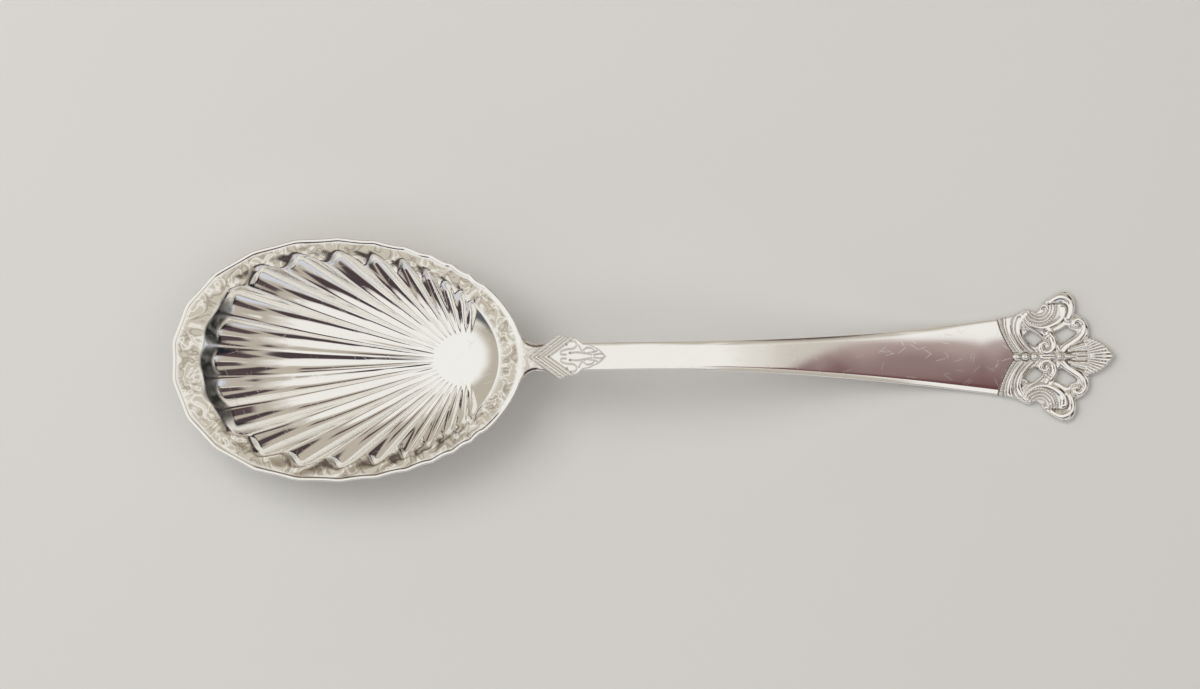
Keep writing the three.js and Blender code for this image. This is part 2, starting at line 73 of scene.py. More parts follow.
# Bowl
BOWL_HALF_WIDTH = 30.8
TIP_POWER = 2.1  # of the half superellipse towards the tip
HEEL_POWER = 2.0  # and of the one towards the heel
RIM_HEIGHT_TIP = 16.6
RIM_HEIGHT_HEEL = 20.2
BOWL_SHEET = 1.0
BOWL_CURVE = 2.1  # power of the curve from the bowl's floor to its flange
FLANGE_TIP = 7.3  # the flange's width at the tip
FLANGE_SIDE = 4.9
FLANGE_HEEL = 5.5
FLANGE_RISE = 1.6  # from its inner edge to the rim
FLANGE_CREASE = 0.25  # height over which the hollow rounds into the flange
CREASE_REACH = 4.0  # how far inside the hollow's edge the two can meet
FLANGE_PUFF = 0.28  # how far the flange swells up outside each flute
RIM_WIDTH = 1.1
WEAR_FLAT = 0.35  # how much is worn off under the bowl, where it lies

# Flutes
FLUTES_EACH_SIDE = 11
FLUTE_X = HEEL_X - 14.3  # centre of the boss, which the flutes run out from
BOSS_RADIUS = 6.0
FLUTE_DEPTH = 1.15  # at the tip; nearer the boss a flute gets narrower, and shallower but steeper
FLUTE_STEEPER = 0.5  # how much steeper its sides would be at the boss's middle than at the tip
FLUTE_GROWTH = 3.5  # distance past the boss over which a flute sets in
FLUTE_END_WALL = 4.0  # length of a flute's end wall at the tip
FLUTE_SIDE_WALL = 2.4  # and at the sides
FLUTE_REACH = (0.4, 0.9)  # how far a flute runs on past the hollow's edge, at the tip and at the sides
FLUTE_END_ROUND = 1.5  # how much sooner a flute ends at its ridges than in its middle, at the tip
FLUTE_POCKET = 0.9  # how far a side flute's middle carries the hollow's edge out
FLUTE_WEB = 2.0  # how far the flange runs in between two side flutes
FLUTE_STEP = 7.45  # degrees from one flute to the next at the tip
FLUTE_SPREAD = 0.012  # how much wider the steps get, by the square of the flute's number
SCALLOP_DEPTH = 0.45  # how far the rim stands out at a ridge

# Angles from the axis, in degrees, over which the flutes' ends change
SIDE_FLUTES = (9.0, 21.0)  # from the tip's ends to those of the sides, which bow out into the flange
BOW_LESSENS = (55.0, 80.0)
BOW_ENDS = (88.0, 104.0)
BOW_LEFT = 0.25  # share of the bow that is left between the last two
DARK_TIP = (12.0, 16.0)  # from a band of painted shade at a flute's end to a spot of it
SPOT_ENDS = (60.0, 80.0)

# Distances past a flute's end over which its painted shade starts and stops
BAND_START = (-3.5, -2.5)
SPOT_START = (-2.4, -1.4)
DARK_STOP = (-0.4, 0.4)
SPOT_PLACE = -0.2  # across the flute, from its middle towards the tip, as a share of its width
SPOT_HALF_WIDTH = 0.16
SPOT_TONE = 0.3

# Distances past the flange's inner edge over which its waves, and its tarnish with painted reflection
# swirls, start
WAVE_START = (-0.2, 1.6)
TARNISH_AND_PAINTED_SWIRL_START = (-0.3, 1.2)
TARNISH_AND_PAINTED_SWIRL_STOP = (0.85, 1.0)  # shares of the flange's width over which the tarnish and its painted reflection swirls stop
NECK_TARNISH_AND_PAINTED_SWIRLS = 0.6  # how much of the tarnish and its painted reflection swirls the neck has

# Neck and stem
NECK_HALF_WIDTH = 3.45
NECK_FLARE = 1.5  # how much wider each side gets towards the bowl
NECK_SHOULDER = 0.7  # and towards the lap joint
NECK_FILLET = 3.0  # length over which the rim rounds into the neck
NECK_WINDOW = 6.6  # half the width of the rim that runs out into the neck
NECK_WINDOW_INSET = (0.6, 0.4)  # how far inside the heel's end its corners and its middle lie
NECK_WINDOW_ANGLE = math.pi - math.atan2(NECK_WINDOW, HEEL_X - NECK_WINDOW_INSET[0] - FLUTE_X)
NECK_ROWS = 30  # of its grid, from the window to the lap joint
NECK_ROOT_ALONG = (-5.0, -0.8)  # distance past the heel's end over which the sheet thickens into the neck
NECK_ROOT_ACROSS = (3.2, 7.5)  # and distance from the axis over which it thins again
NECK_TARNISH_AND_PAINTED_SWIRL_START = (-0.5, 1.0)  # distance past the heel's end over which its tarnish and painted reflection swirls start
HANDLE_THICKNESS = 3.2  # at the neck
STEM_END_THICKNESS = 2.0  # at the crown
SEAT_SLOPE = 0.16  # rise per length of the shoulder ornament's seat
SEAT_MARGIN = 1.3  # how far the seat runs on past the ornament
SEAT_GAP = 0.1  # clearance between the two
SEAT_END_X = SHOULDER_HIGH[0] + SEAT_MARGIN
LYING_X = CROWN_X - 4.0  # where the handle comes to lie flat
LAP_END_X = STEM_X + 11.0
TAB_HALF_WIDTH = 3.2
STEM_HALF_WIDTH = 3.56
STEM_END_HALF_WIDTH = 9.8
STEM_PARALLEL = 22.6  # length before the stem starts to widen
BORDER_REACH = 4.4  # how far the stem's point runs into the crown
BORDER_POWER = 1.5  # how hollow the point's sides are
BORDER_SPREAD = 0.45  # how much the crown's bands spread at the axis and at the edge


# Small helpers

def smoothstep(value, low, high):
    """0 below low, 1 above high, and 3t squared minus 2t cubed between them."""
    t = np.clip((value - low) / (high - low), 0.0, 1.0)
    return t * t * (3.0 - 2.0 * t)


def blend(start, end, share):
    """Straight mix of two values."""
    return start + (end - start) * share


def soft_min(first, second, reach):
    """The lower of two heights, rounded where they are closer to each other than reach."""
    near = np.maximum(reach - np.abs(first - second), 0.0) / reach
    return np.minimum(first, second) - near * near * reach / 4.0


# Meshes from grids

def grid_quads(rows, columns):
    """Quads of a grid whose vertices are numbered row by row."""
    row = np.arange(rows - 1)[:, None] * columns
    column = np.arange(columns - 1)[None, :]
    corners = [row + column, row + column + 1, row + columns + column + 1, row + columns + column]
    return np.stack(corners, axis=-1).reshape(-1, 4)


def signed_volume(points, quads):
    """Volume inside quads, by adding up the tetrahedra that they make with the origin."""
    a, b, c, d = (points[quads[:, corner]] for corner in range(4))
    halves = np.einsum("ij,ij->i", a, np.cross(b, c)) + np.einsum("ij,ij->i", a, np.cross(c, d))
    return halves.sum() / 6.0


def make_piece(name, points, quads, slot, nodes, material, sharp=40.0, **marks):
    """Mesh object of points in millimetres and quads, whose doubled corners make triangles.

    Its faces are turned outwards. It rides on the root body and stands for the named CAD nodes. marks are
    values of its points by name, which materials read.
    """
    if signed_volume(points, quads) < 0:
        quads = quads[:, ::-1]
    doubled = quads == np.roll(quads, -1, axis=1)
    whole = quads[~doubled.any(axis=1)]
    halved = quads[doubled.sum(axis=1) == 1]
    keep = ~doubled[doubled.sum(axis=1) == 1]
    triangles = halved[keep].reshape(-1, 3)
    corners = np.concatenate([whole.ravel(), triangles.ravel()])
    starts = np.concatenate([4 * np.arange(len(whole)), 4 * len(whole) + 3 * np.arange(len(triangles))])
    mesh = bpy.data.meshes.new(name)
    mesh.vertices.add(len(points))
    mesh.vertices.foreach_set("co", (points * MM).astype(np.float32).ravel())
    mesh.loops.add(len(corners))
    mesh.loops.foreach_set("vertex_index", corners.astype(np.int32))
    mesh.polygons.add(len(starts))
    mesh.polygons.foreach_set("loop_start", starts.astype(np.int32))
    mesh.update(calc_edges=True)
    mesh.validate()
    mesh.shade_smooth()
    mesh.set_sharp_from_angle(angle=math.radians(sharp))
    for mark, values in marks.items():
        mesh.attributes.new(mark, "FLOAT", "POINT").data.foreach_set("value", values.astype(np.float32))
    mesh.materials.append(material)
    piece = bpy.data.objects.new(name, mesh)
    bpy.context.scene.collection.objects.link(piece)
    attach(piece, "root")
    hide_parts(*nodes)


def merged(points):
    """Points that lie together made one, and the number that each of them then has."""
    single, number = np.unique(np.round(points, 4) + 0.0, axis=0, return_inverse=True)
    return single, number.reshape(-1)


def welded(patches):
    """Points and quads of several grids of points, with the points that they share made one."""
    points = np.concatenate([patch.reshape(-1, patch.shape[-1]) for patch in patches])
    counts = [patch.shape[0] * patch.shape[1] for patch in patches]
    firsts = np.concatenate([[0], np.cumsum(counts)[:-1]])
    quads = np.concatenate([grid_quads(*patch.shape[:2]) + first for patch, first in zip(patches, firsts)])
    single, number = merged(points)
    return single, number[quads]


# Handle's shape in side view and in plan

def handle_top(x):
    """Height of the handle: a straight seat at the neck, then one curve that falls to the crown."""
    seat_end = RIM_HEIGHT_HEEL + SEAT_SLOPE * (SEAT_END_X - HEEL_X)
    straight = seat_end + SEAT_SLOPE * (x - SEAT_END_X)
    run = LYING_X - SEAT_END_X
    t = np.clip((x - SEAT_END_X) / run, 0.0, 1.0)
    fall = 1.0 - t * t * (3.0 - 2.0 * t)
    lift = t * (1.0 - t) ** 2 * run * SEAT_SLOPE
    curved = STEM_END_THICKNESS + fall * (seat_end - STEM_END_THICKNESS) + lift
    return np.where(x <= SEAT_END_X, straight, curved)


def handle_depth(x):
    """Thickness of the handle, which thins towards the crown."""
    return blend(HANDLE_THICKNESS, STEM_END_THICKNESS, smoothstep(x, SEAT_END_X, LYING_X))


def stem_half(x):
    """Half the stem's width: parallel at first, then widening with the square of the way."""
    t = np.maximum(0.0, (x - STEM_X - STEM_PARALLEL) / (CROWN_X - STEM_X - STEM_PARALLEL))
    return blend(STEM_HALF_WIDTH, STEM_END_HALF_WIDTH, t * t)


def border_x(y):
    """Line between the stem and the crown: each half runs from the edge in to a point on the axis."""
    inward = np.maximum(0.0, 1.0 - np.abs(y) / STEM_END_HALF_WIDTH)
    return CROWN_X + BORDER_REACH * inward ** BORDER_POWER


# Bowl

def outline_share(reaches, x, y):
    """Distance from the middle of an outline as a share, 1 on the outline: two half superellipses."""
    tip, heel, half = reaches
    power = np.where(x < WIDEST_X, TIP_POWER, HEEL_POWER)
    along = np.abs((x - WIDEST_X) / np.where(x < WIDEST_X, tip, heel))
    return (along ** power + np.abs(y / half) ** power) ** (1.0 / power)


RIM = (TIP_REACH, HEEL_REACH, BOWL_HALF_WIDTH)
HOLLOW = (TIP_REACH - FLANGE_TIP, HEEL_REACH - FLANGE_HEEL, BOWL_HALF_WIDTH - FLANGE_SIDE)


def ray_length(reaches, angle):
    """Distance from the flutes' centre to an outline along each ray, found by halving."""
    inside = np.zeros_like(angle)
    outside = np.full_like(angle, 2.0 * (TIP_REACH + HEEL_REACH))
    for _ in range(50):
        middle = (inside + outside) / 2.0
        within = outline_share(reaches, FLUTE_X - middle * np.cos(angle), middle * np.sin(angle)) < 1.0
        inside = np.where(within, middle, inside)
        outside = np.where(within, outside, middle)
    return inside


def rim_height(x):
    """Height of the rim, which rises from the tip to the heel."""
    return blend(RIM_HEIGHT_TIP, RIM_HEIGHT_HEEL, (x - TIP_X) / (HEEL_X - TIP_X))


def flute_angle(number):
    """Angle of a flute from the axis, whose steps widen towards the heel."""
    return np.radians(number * (FLUTE_STEP + FLUTE_SPREAD * number ** 2))


def bowl_rays():
    """Rays from the flutes' centre, from the heel round the tip and back to the heel.

    number counts flutes from the axis, with a ridge at each half. The rays of the heel are close where
    the neck starts, at even steps across it.
    """
    rays_per_flute = 16
    last = FLUTES_EACH_SIDE + 0.5
    number = np.linspace(-last, last, int(2 * last * rays_per_flute) + 1)
    side = np.linspace(flute_angle(last), NECK_WINDOW_ANGLE, 42)[1:]
    front = HEEL_X - NECK_WINDOW_INSET[1] - FLUTE_X
    across = math.pi - np.arctan2(np.linspace(NECK_WINDOW, 0.0, 17)[1:], front)
    heel = np.concatenate([side, across])
    angle = np.concatenate([-heel[::-1], flute_angle(number), heel])
    number = np.concatenate([np.full(len(heel), -last), number, np.full(len(heel), last)])
    return angle, number


FLANGE_WAVES = [
    # height, length, direction in radians
    (0.080, 9.0, 0.4),
    (0.056, 6.1, 2.0),
    (0.036, 4.3, 3.7),
    (0.024, 3.1, 5.2),
    (0.016, 2.3, 1.1),
]


def flange_wave(x, y):
    """Slight unevenness of the hand-raised flange, as a sum of a few slanting waves."""
    total = np.zeros_like(x)
    for height, length, turn in FLANGE_WAVES:
        phase = (x * math.cos(turn) + y * math.sin(turn)) * 2.0 * math.pi / length
        total += height * np.sin(phase + 1.7 * np.sin(0.35 * phase + turn))
    return total


def flute_ends(angle, number):
    """Length of the flute's end wall along each ray, and distance to the flange and to the flute's end.

    The flange's inner edge is even at the tip, where a flute ends sooner at its ridges. At the sides the
    edge bows out round each flute's end and runs in between two flutes.
    """
    degrees = np.degrees(np.abs(angle))
    sideways = smoothstep(degrees, *SIDE_FLUTES)
    wall = blend(FLUTE_END_WALL, FLUTE_SIDE_WALL, sideways)
    bowed = sideways * blend(1.0, BOW_LEFT, smoothstep(degrees, *BOW_LESSENS))
    bowed = bowed * (1.0 - smoothstep(degrees, *BOW_ENDS))
    middle = np.round(number)
    phase = number - middle
    across = 2.0 * np.abs(phase)
    ridge = middle + 0.5 * np.sign(phase)
    pocket = ray_length(HOLLOW, np.abs(flute_angle(middle))) + FLUTE_POCKET
    web = ray_length(HOLLOW, np.abs(flute_angle(ridge))) - FLUTE_WEB
    lip = blend(ray_length(HOLLOW, angle), blend(pocket, web, across ** 3), bowed)
    flute_end = lip + blend(*FLUTE_REACH, bowed) - (1.0 - bowed) * FLUTE_END_ROUND * across ** 2
    return wall, lip, flute_end


def dark_ends(angle, number, past_end):
    """Painted shade in the flutes' ends, 0 to 1, standing in for the dark reflection in their end walls: a
    band across each at the tip, a faint spot at the sides.
    """
    degrees = np.degrees(np.abs(angle))
    phase = number - np.round(number)
    within = 1.0 - smoothstep(past_end, *DARK_STOP)
    band = within * smoothstep(past_end, *BAND_START) * (1.0 - 0.7 * (2.0 * phase) ** 4)
    off_spot = np.abs(phase * np.sign(number) - SPOT_PLACE) / SPOT_HALF_WIDTH
    spot = SPOT_TONE * within * smoothstep(past_end, *SPOT_START) * np.clip(1.4 - off_spot, 0.0, 1.0)
    at_tip = 1.0 - smoothstep(degrees, *DARK_TIP)
    return blend(spot * (1.0 - smoothstep(degrees, *SPOT_ENDS)), band, at_tip)


# Rows of the inside's grid: out to the boss's edge, the flutes' end walls, the flange and the bead
INSIDE_ROWS = (8, 32, 22, 15)


def bowl_inside(angle, number):
    """Grid of the bowl's inside, rays along its columns, from the boss out to the rim's bead.

    Ridges follow a power curve of the distance from the middle. The flutes are sunk below them, deeper
    away from the boss, with a round bottom. The flange rises straight to the bead. Also gives how far
    below each point the back lies, the painted shade of the flutes' ends, and the share of tarnish with
    painted reflection swirls, which is 1 on the flange.
    """
    across = 2.0 * np.abs(number - np.round(number))
    channel = 1.0 - (4.0 * across ** 2 - across ** 8) / 3.0
    plain = ray_length(RIM, angle)
    rim = plain + SCALLOP_DEPTH * (1.0 - channel)
    hollow = ray_length(HOLLOW, angle)
    wall, lip, flute_end = flute_ends(angle, number)
    boss = np.minimum(BOSS_RADIUS, 0.6 * (hollow - wall))
    start = hollow - wall - FLUTE_END_ROUND
    slant = np.gradient(plain, angle) / plain
    edge = rim - RIM_WIDTH * np.hypot(1.0, slant)
    stops = [np.zeros_like(boss), boss, start, lip, edge]
    rows = [np.linspace(*ends, count)[:-1] for *ends, count in zip(stops, stops[1:], INSIDE_ROWS)]
    distance = np.concatenate([*rows, edge[None]])
    x = FLUTE_X - distance * np.cos(angle)
    y = distance * np.sin(angle)
    floor = BOWL_SHEET + FLUTE_DEPTH - WEAR_FLAT
    to_lip = np.clip((distance - boss) / (lip - boss), 0.0, 1.0) ** 2
    lip_height = rim_height(x) - FLANGE_RISE * blend(1.0, (rim - lip) / (rim - hollow), to_lip)
    share = outline_share(HOLLOW, x, y) * blend(1.0, hollow / lip, to_lip)
    curve = floor + (lip_height - floor) * share ** BOWL_CURVE
    flange = rim_height(x) - FLANGE_RISE * (rim - distance) / (rim - hollow)
    ridge = np.where(distance < hollow - CREASE_REACH, curve, soft_min(curve, flange, FLANGE_CREASE))
    way = distance / (FLUTE_X - WIDEST_X + HOLLOW[0])
    growth = smoothstep(distance, boss, boss + FLUTE_GROWTH) * way * (1.0 + FLUTE_STEEPER * (1.0 - way))
    sunk = FLUTE_DEPTH * channel * growth * (1.0 - smoothstep(distance, flute_end - wall, flute_end))
    on_flange = np.clip((distance - lip) / (edge - lip), 0.0, 1.0)
    puff = FLANGE_PUFF * np.cos(math.pi * number) ** 2 * np.sin(math.pi * on_flange)
    waved = smoothstep(distance - lip, *WAVE_START) * (1.0 - 0.8 * on_flange ** 4)
    z = ridge - sunk + waved * (flange_wave(x, y) + puff)
    slope = np.gradient(ridge, axis=0) / np.maximum(np.gradient(distance, axis=0), 1e-6)
    drop = BOWL_SHEET * np.hypot(1.0, slope)
    # Share of tarnish with painted reflection swirls, 1 on the flange.
    dull = smoothstep(distance - lip, *TARNISH_AND_PAINTED_SWIRL_START) * (1.0 - smoothstep(on_flange, *TARNISH_AND_PAINTED_SWIRL_STOP))
    return np.stack([x, y, z], axis=-1), drop, dark_ends(angle, number, distance - flute_end), dull


def bowl_outside(inside, drop):
    """The inside moved down by the sheet's upright thickness, and by the handle's where the neck starts."""
    thick = smoothstep(inside[..., 0] - HEEL_X, *NECK_ROOT_ALONG)
    thick = thick * (1.0 - smoothstep(np.abs(inside[..., 1]), *NECK_ROOT_ACROSS))
    outside = inside.copy()
    outside[..., 2] = np.maximum(inside[..., 2] - blend(drop, HANDLE_THICKNESS, thick), 0.0)
    return outside


def neck_patch(front):
    """Grid that carries the window of the rim on to the step of the lap joint.

    Each row is the front row squeezed to the neck's width there and moved on towards the step.
    """
    share = np.linspace(0.0, 1.0, NECK_ROWS)[:, None]
    front_x, front_y = front[None, :, 0], front[None, :, 1]
    half = np.abs(front[0, 1])
    onward = share ** 1.5
    end = STEM_X - RIM_WIDTH
    x = blend(front_x, end, onward)
    side_x = blend(front[0, 0], end, onward)
    to_bowl = np.clip(1.0 - (side_x - HEEL_X) / (0.5 * NECK_LENGTH), 0.0, 1.0)
    to_step = np.maximum(0.0, (side_x - HEEL_X) / (0.5 * NECK_LENGTH) - 1.0)
    neck = NECK_HALF_WIDTH - RIM_WIDTH + NECK_FLARE * to_bowl ** 2 + NECK_SHOULDER * to_step ** 2
    fillet = np.maximum(0.0, 1.0 - (side_x - front[0, 0]) / NECK_FILLET) ** 3
    width = neck + (half - neck[0]) * fillet
    y = front_y * width / half
    drop_front = front[None, :, 2] - handle_top(front_x)
    z = handle_top(x) + drop_front * (1.0 - smoothstep(share, 0.0, 0.7))
    return np.stack([x, y, z], axis=-1)


# Sections of the edge, as reach outwards and height: round on the rim, chamfered and upright on the neck
RIM_BEAD = np.array([[0.10, 0.05], [0.26, 0.14], [0.45, 0.21], [0.66, 0.24], [0.86, 0.20],
                     [1.02, 0.08], [1.10, -0.10], [1.06, -0.34], [0.68, -0.64], [0.25, -0.86]])
NECK_SIDE = np.array([[0.10, -0.02], [0.35, -0.12], [0.65, -0.26], [0.90, -0.40], [1.04, -0.55],
                      [1.10, -0.80], [1.10, -1.60], [1.10, -2.50], [0.98, -2.95], [0.60, -3.15]])


def edge_strip(loop, bottom, neckness):
    """Rings that carry the edge from the loop on the top down to the same loop on the bottom.

    Each ring is the loop moved outwards in plan by the section's reach. neckness is 0 on the rim and 1 on
    the neck, and mixes their sections.
    """
    along = np.roll(loop, -1, axis=0) - np.roll(loop, 1, axis=0)
    outward = np.stack([-along[:, 1], along[:, 0]], axis=-1)
    outward /= np.maximum(np.hypot(outward[:, 0], outward[:, 1]), 1e-9)[:, None]
    section = blend(RIM_BEAD[:, None, :], NECK_SIDE[:, None, :], neckness[None, :, None])
    rings = np.empty((len(section) + 2, len(loop), 3))
    rings[0] = loop
    rings[-1] = bottom
    rings[1:-1, :, :2] = loop[None, :, :2] + section[:, :, :1] * outward[None]
    rings[1:-1, :, 2] = loop[None, :, 2] + section[:, :, 1]
    return np.concatenate([rings, rings[:, :1]], axis=1)


def open_edge(rim, neck):
    """Loop along the rim, out on one side of the neck, across its end and back on the other side."""
    return np.concatenate([rim, neck[1:, 0], neck[-1, 1:-1], neck[:0:-1, -1]])


def make_bowl(material):
    """Bowl with its flange, bead, neck and heel, as one closed skin."""
    angle, number = bowl_rays()
    inside, drop, dark, dull = bowl_inside(angle, number)
    outside = bowl_outside(inside, drop)
    rim = np.flatnonzero(np.abs(angle) <= NECK_WINDOW_ANGLE - 1e-9)
    window = np.concatenate([np.arange(rim[-1], len(angle)), np.arange(1, rim[0] + 1)])
    neck = neck_patch(inside[-1, window])
    under = neck.copy()
    front_drop = inside[-1, window, 2] - outside[-1, window, 2]
    share = np.linspace(0.0, 1.0, NECK_ROWS)[:, None]
    under[..., 2] -= blend(front_drop, HANDLE_THICKNESS, smoothstep(share, 0.0, 0.5))
    loop = open_edge(inside[-1, rim], neck)
    low = open_edge(outside[-1, rim], under)
    ramp = smoothstep(np.arange(NECK_ROWS - 1), 0.0, 12.0)
    across = len(loop) - len(rim) - 2 * len(ramp)
    neckness = np.concatenate([np.zeros(len(rim)), ramp, np.ones(across), ramp[::-1]])
    # The painted shade of the flutes' ends and the tarnish with its painted reflection swirls ride along as
    # two extra columns.
    marked = np.concatenate([inside, dark[..., None], dull[..., None]], axis=-1)
    plain = [outside[:, ::-1], neck, under[:, ::-1], edge_strip(loop, low, neckness)]
    points, quads = welded([marked] + [np.pad(patch, ((0, 0), (0, 0), (0, 2))) for patch in plain])
    # Tarnish with painted reflection swirls, on the flange and fading in on the neck.
    dulled = points[:, 4] + NECK_TARNISH_AND_PAINTED_SWIRLS * smoothstep(points[:, 0] - HEEL_X, *NECK_TARNISH_AND_PAINTED_SWIRL_START)
    make_piece("bowl_shell", points[:, :3], quads, "polished_silver", ["bowl"], material,
               dulled=dulled, dark_end=points[:, 3])


# Stem and lap joint

# Edges of a section, as inset from the side and height
BEVEL = [(0.0, -0.78), (0.03, -0.48), (0.12, -0.29), (0.30, -0.20), (1.0, -0.06), (1.16, -0.02), (1.34, 0.0)]
ROUND_BACK = [(0.0, 0.60), (0.05, 0.30), (0.18, 0.12), (0.42, 0.0)]
SQUARE_TOP = [(0.0, -0.10), (0.10, 0.0)]


def bar_skin(x, half, under_top, depth, upper, lower, slide):
    """Points and quads of a closed bar under the handle's line, its section carried along x.

    upper and lower are profiles of the section's edges, as inset from the side and height. A point keeps
    its inset along the bar, so an edge stays equally wide. slide moves a point on along the bar.
    """
    columns = 31

    def face(profile, level):
        """One face as a grid: its edge profile, evenly spaced columns, and the profile mirrored."""
        inset, lift = np.array(profile).T
        flat = np.linspace(-1.0, 1.0, columns - 2 * len(profile) + 2)[1:-1]
        y = np.concatenate([inset - half, flat * (half - inset[-1]), (half - inset)[:, ::-1]], axis=1)
        moved = x + slide(x, y)
        z = handle_top(moved) - level + np.concatenate([lift, 0.0 * flat, lift[::-1]])
        return np.stack([moved, y, z], axis=-1)

    top = face(upper, under_top)
    base = face(lower, under_top + depth)
    left = np.stack([base[:, 0], top[:, 0]], axis=1)
    right = np.stack([top[:, -1], base[:, -1]], axis=1)
    ends = [np.stack([base[0], top[0]]), np.stack([top[-1], base[-1]])]
    return welded([top, base[:, ::-1], left, right, *ends])


def make_stem(material):
    """Tapered bar with bevelled edges, cut to a tongue at the lap and to a point at the crown."""
    lap = np.linspace(STEM_X + JOINT_GAP, LAP_END_X, 24)
    rest = np.linspace(LAP_END_X, CROWN_X - JOINT_GAP, 220)
    x = np.concatenate([lap, rest])[:, None]
    on_lap = (np.arange(len(x)) < len(lap))[:, None]
    depth = np.where(on_lap, (HANDLE_THICKNESS - JOINT_GAP) / 2.0, handle_depth(x))

    def to_border(x, y):
        """Way on to the border's line, taken up along the last half of the stem."""
        return (border_x(y) - CROWN_X) * smoothstep(x, 0.4 * CROWN_X, CROWN_X - JOINT_GAP)

    points, quads = bar_skin(x, stem_half(x), 0.0, depth, BEVEL, ROUND_BACK, to_border)
    make_piece("stem_bar", points, quads, "polished_silver", ["stem"], material)


def make_heel_tab(material):
    """Tab of the bowl's heel, which the stem's tongue is soldered on to."""
    x = np.linspace(STEM_X - RIM_WIDTH - 1.0, LAP_END_X - JOINT_GAP, 24)[:, None]
    half = np.full_like(x, TAB_HALF_WIDTH)
    depth = (HANDLE_THICKNESS - JOINT_GAP) / 2.0
    points, quads = bar_skin(x, half, depth + JOINT_GAP, depth, SQUARE_TOP, ROUND_BACK, lambda x, y: 0.0 * y)
    make_piece("heel_tab", points, quads, "polished_silver", ["bowl"], material)


# Struck relief: plates whose outline and raised work come from drawn lines

def smooth_line(points, closed=False, steps=6):
    """Catmull-Rom curve through the points, with the same number of steps between each two of them."""
    p = np.array(points, float)
    ends = (p[-1:], p[:2]) if closed else (2.0 * p[:1] - p[1:2], 2.0 * p[-1:] - p[-2:-1])
    padded = np.concatenate([ends[0], p, ends[1]])
    t = np.linspace(0.0, 1.0, steps, endpoint=False)[None, :, None]
    a, b, c, d = padded[:-3, None], padded[1:-2, None], padded[2:-1, None], padded[3:, None]
    curve = 0.5 * (2.0 * b + (c - a) * t + (2.0 * a - 5.0 * b + 4.0 * c - d) * t ** 2
                   + (3.0 * b - a - 3.0 * c + d) * t ** 3)
    curve = curve.reshape(-1, 2)
    return curve if closed else np.concatenate([curve, p[-1:]])


def nearest_on(line, points):
    """Distance from each point to a line of short straight steps, the nearest spot, and how far along it is.

    The last is a share of the whole line, which counts every step as equally long.
    """
    best = np.full(len(points), np.inf)
    spot = np.zeros_like(points)
    way = np.zeros(len(points))
    for number, (start, end) in enumerate(zip(line[:-1], line[1:])):
        along = end - start
        squared = max(along @ along, 1e-12)
        share = np.clip(((points - start) @ along) / squared, 0.0, 1.0)
        near = start + share[:, None] * along
        gap = np.hypot(points[:, 0] - near[:, 0], points[:, 1] - near[:, 1])
        closer = gap < best
        best[closer] = gap[closer]
        spot[closer] = near[closer]
        way[closer] = (number + share[closer]) / (len(line) - 1)
    return best, spot, way


def inside_of(outline, points):
    """True for points inside a closed outline, by counting the crossings to their right."""
    odd = np.zeros(len(points), bool)
    for start, end in zip(outline, np.roll(outline, -1, axis=0)):
        spans = (start[1] > points[:, 1]) != (end[1] > points[:, 1])
        with np.errstate(divide="ignore", invalid="ignore"):
            cross = start[0] + (points[:, 1] - start[1]) * (end[0] - start[0]) / (end[1] - start[1])
        odd ^= spans & (points[:, 0] < cross)
    return odd


def signed_gap(outlines, points):
    """Distance to the nearest of several closed outlines, negative on the metal, and the nearest spot.

    The first outline is the edge of the plate and the others are openings in it.
    """
    best = np.full(len(points), np.inf)
    spot = np.zeros_like(points)
    metal = inside_of(outlines[0], points)
    for outline in outlines:
        gap, near, _ = nearest_on(np.concatenate([outline, outline[:1]]), points)
        closer = gap < best
        best[closer] = gap[closer]
        spot[closer] = near[closer]
    for opening in outlines[1:]:
        metal &= ~inside_of(opening, points)
    return np.where(metal, -best, best), spot


def along_line(path, halves, x, t, profile):
    """Height of a raised or sunk line: profile of the distance from a smooth path.

    The distance is a share of the line's half width. halves are the half widths at the path's start and
    end, and the width between them changes evenly.
    """
    line = smooth_line(path)
    low = line.min(axis=0) - max(halves)
    high = line.max(axis=0) + max(halves)
    near = (x > low[0]) & (x < high[0]) & (t > low[1]) & (t < high[1])
    gap, _, along = nearest_on(line, np.stack([x[near], t[near]], axis=-1))
    height = np.zeros_like(x)
    height[near] = profile(np.clip(gap / blend(*halves, along), 0.0, 1.0))
    return height


def rounded(share):
    """Round back of a raised line: a quarter circle from its crest to its foot."""
    return np.sqrt(np.maximum(0.0, 1.0 - share ** 2))


def swell(share):
    """Soft back of a raised line: a quarter of a cosine from its crest to its foot."""
    return np.cos(0.5 * math.pi * share)


def mellow(share):
    """Soft swell that meets the ground without a crease."""
    return (1.0 - share ** 2) ** 2


def milled(along, pitch):
    """Row of fine beads: 1 in the middle of each, 0 between them."""
    return np.sqrt(np.clip(0.5 + 0.5 * np.cos(2.0 * math.pi * along / pitch), 0.0, 1.0))


def off_band(value, middle, half):
    """Distance from the middle of a band as a share of its half width, at most 1."""
    return np.clip(np.abs(value - middle) / half, 0.0, 1.0)


def banded(offset, along, bands, beads, pitch, valley):
    """Soft bands and a row of round beads that run along a line: the highest of them at each spot.

    Each has its middle's offset from the line, its half width and its height. valley is the share of the
    beads' height that is left between two of them.
    """
    rise = np.zeros_like(offset)
    for middle, half, height in bands:
        rise = np.maximum(rise, height * swell(off_band(offset, middle, half)))
    middle, half, height = beads
    row = rounded(off_band(offset, middle, half)) * blend(valley, 1.0, milled(along, pitch))
    return np.maximum(rise, height * row)


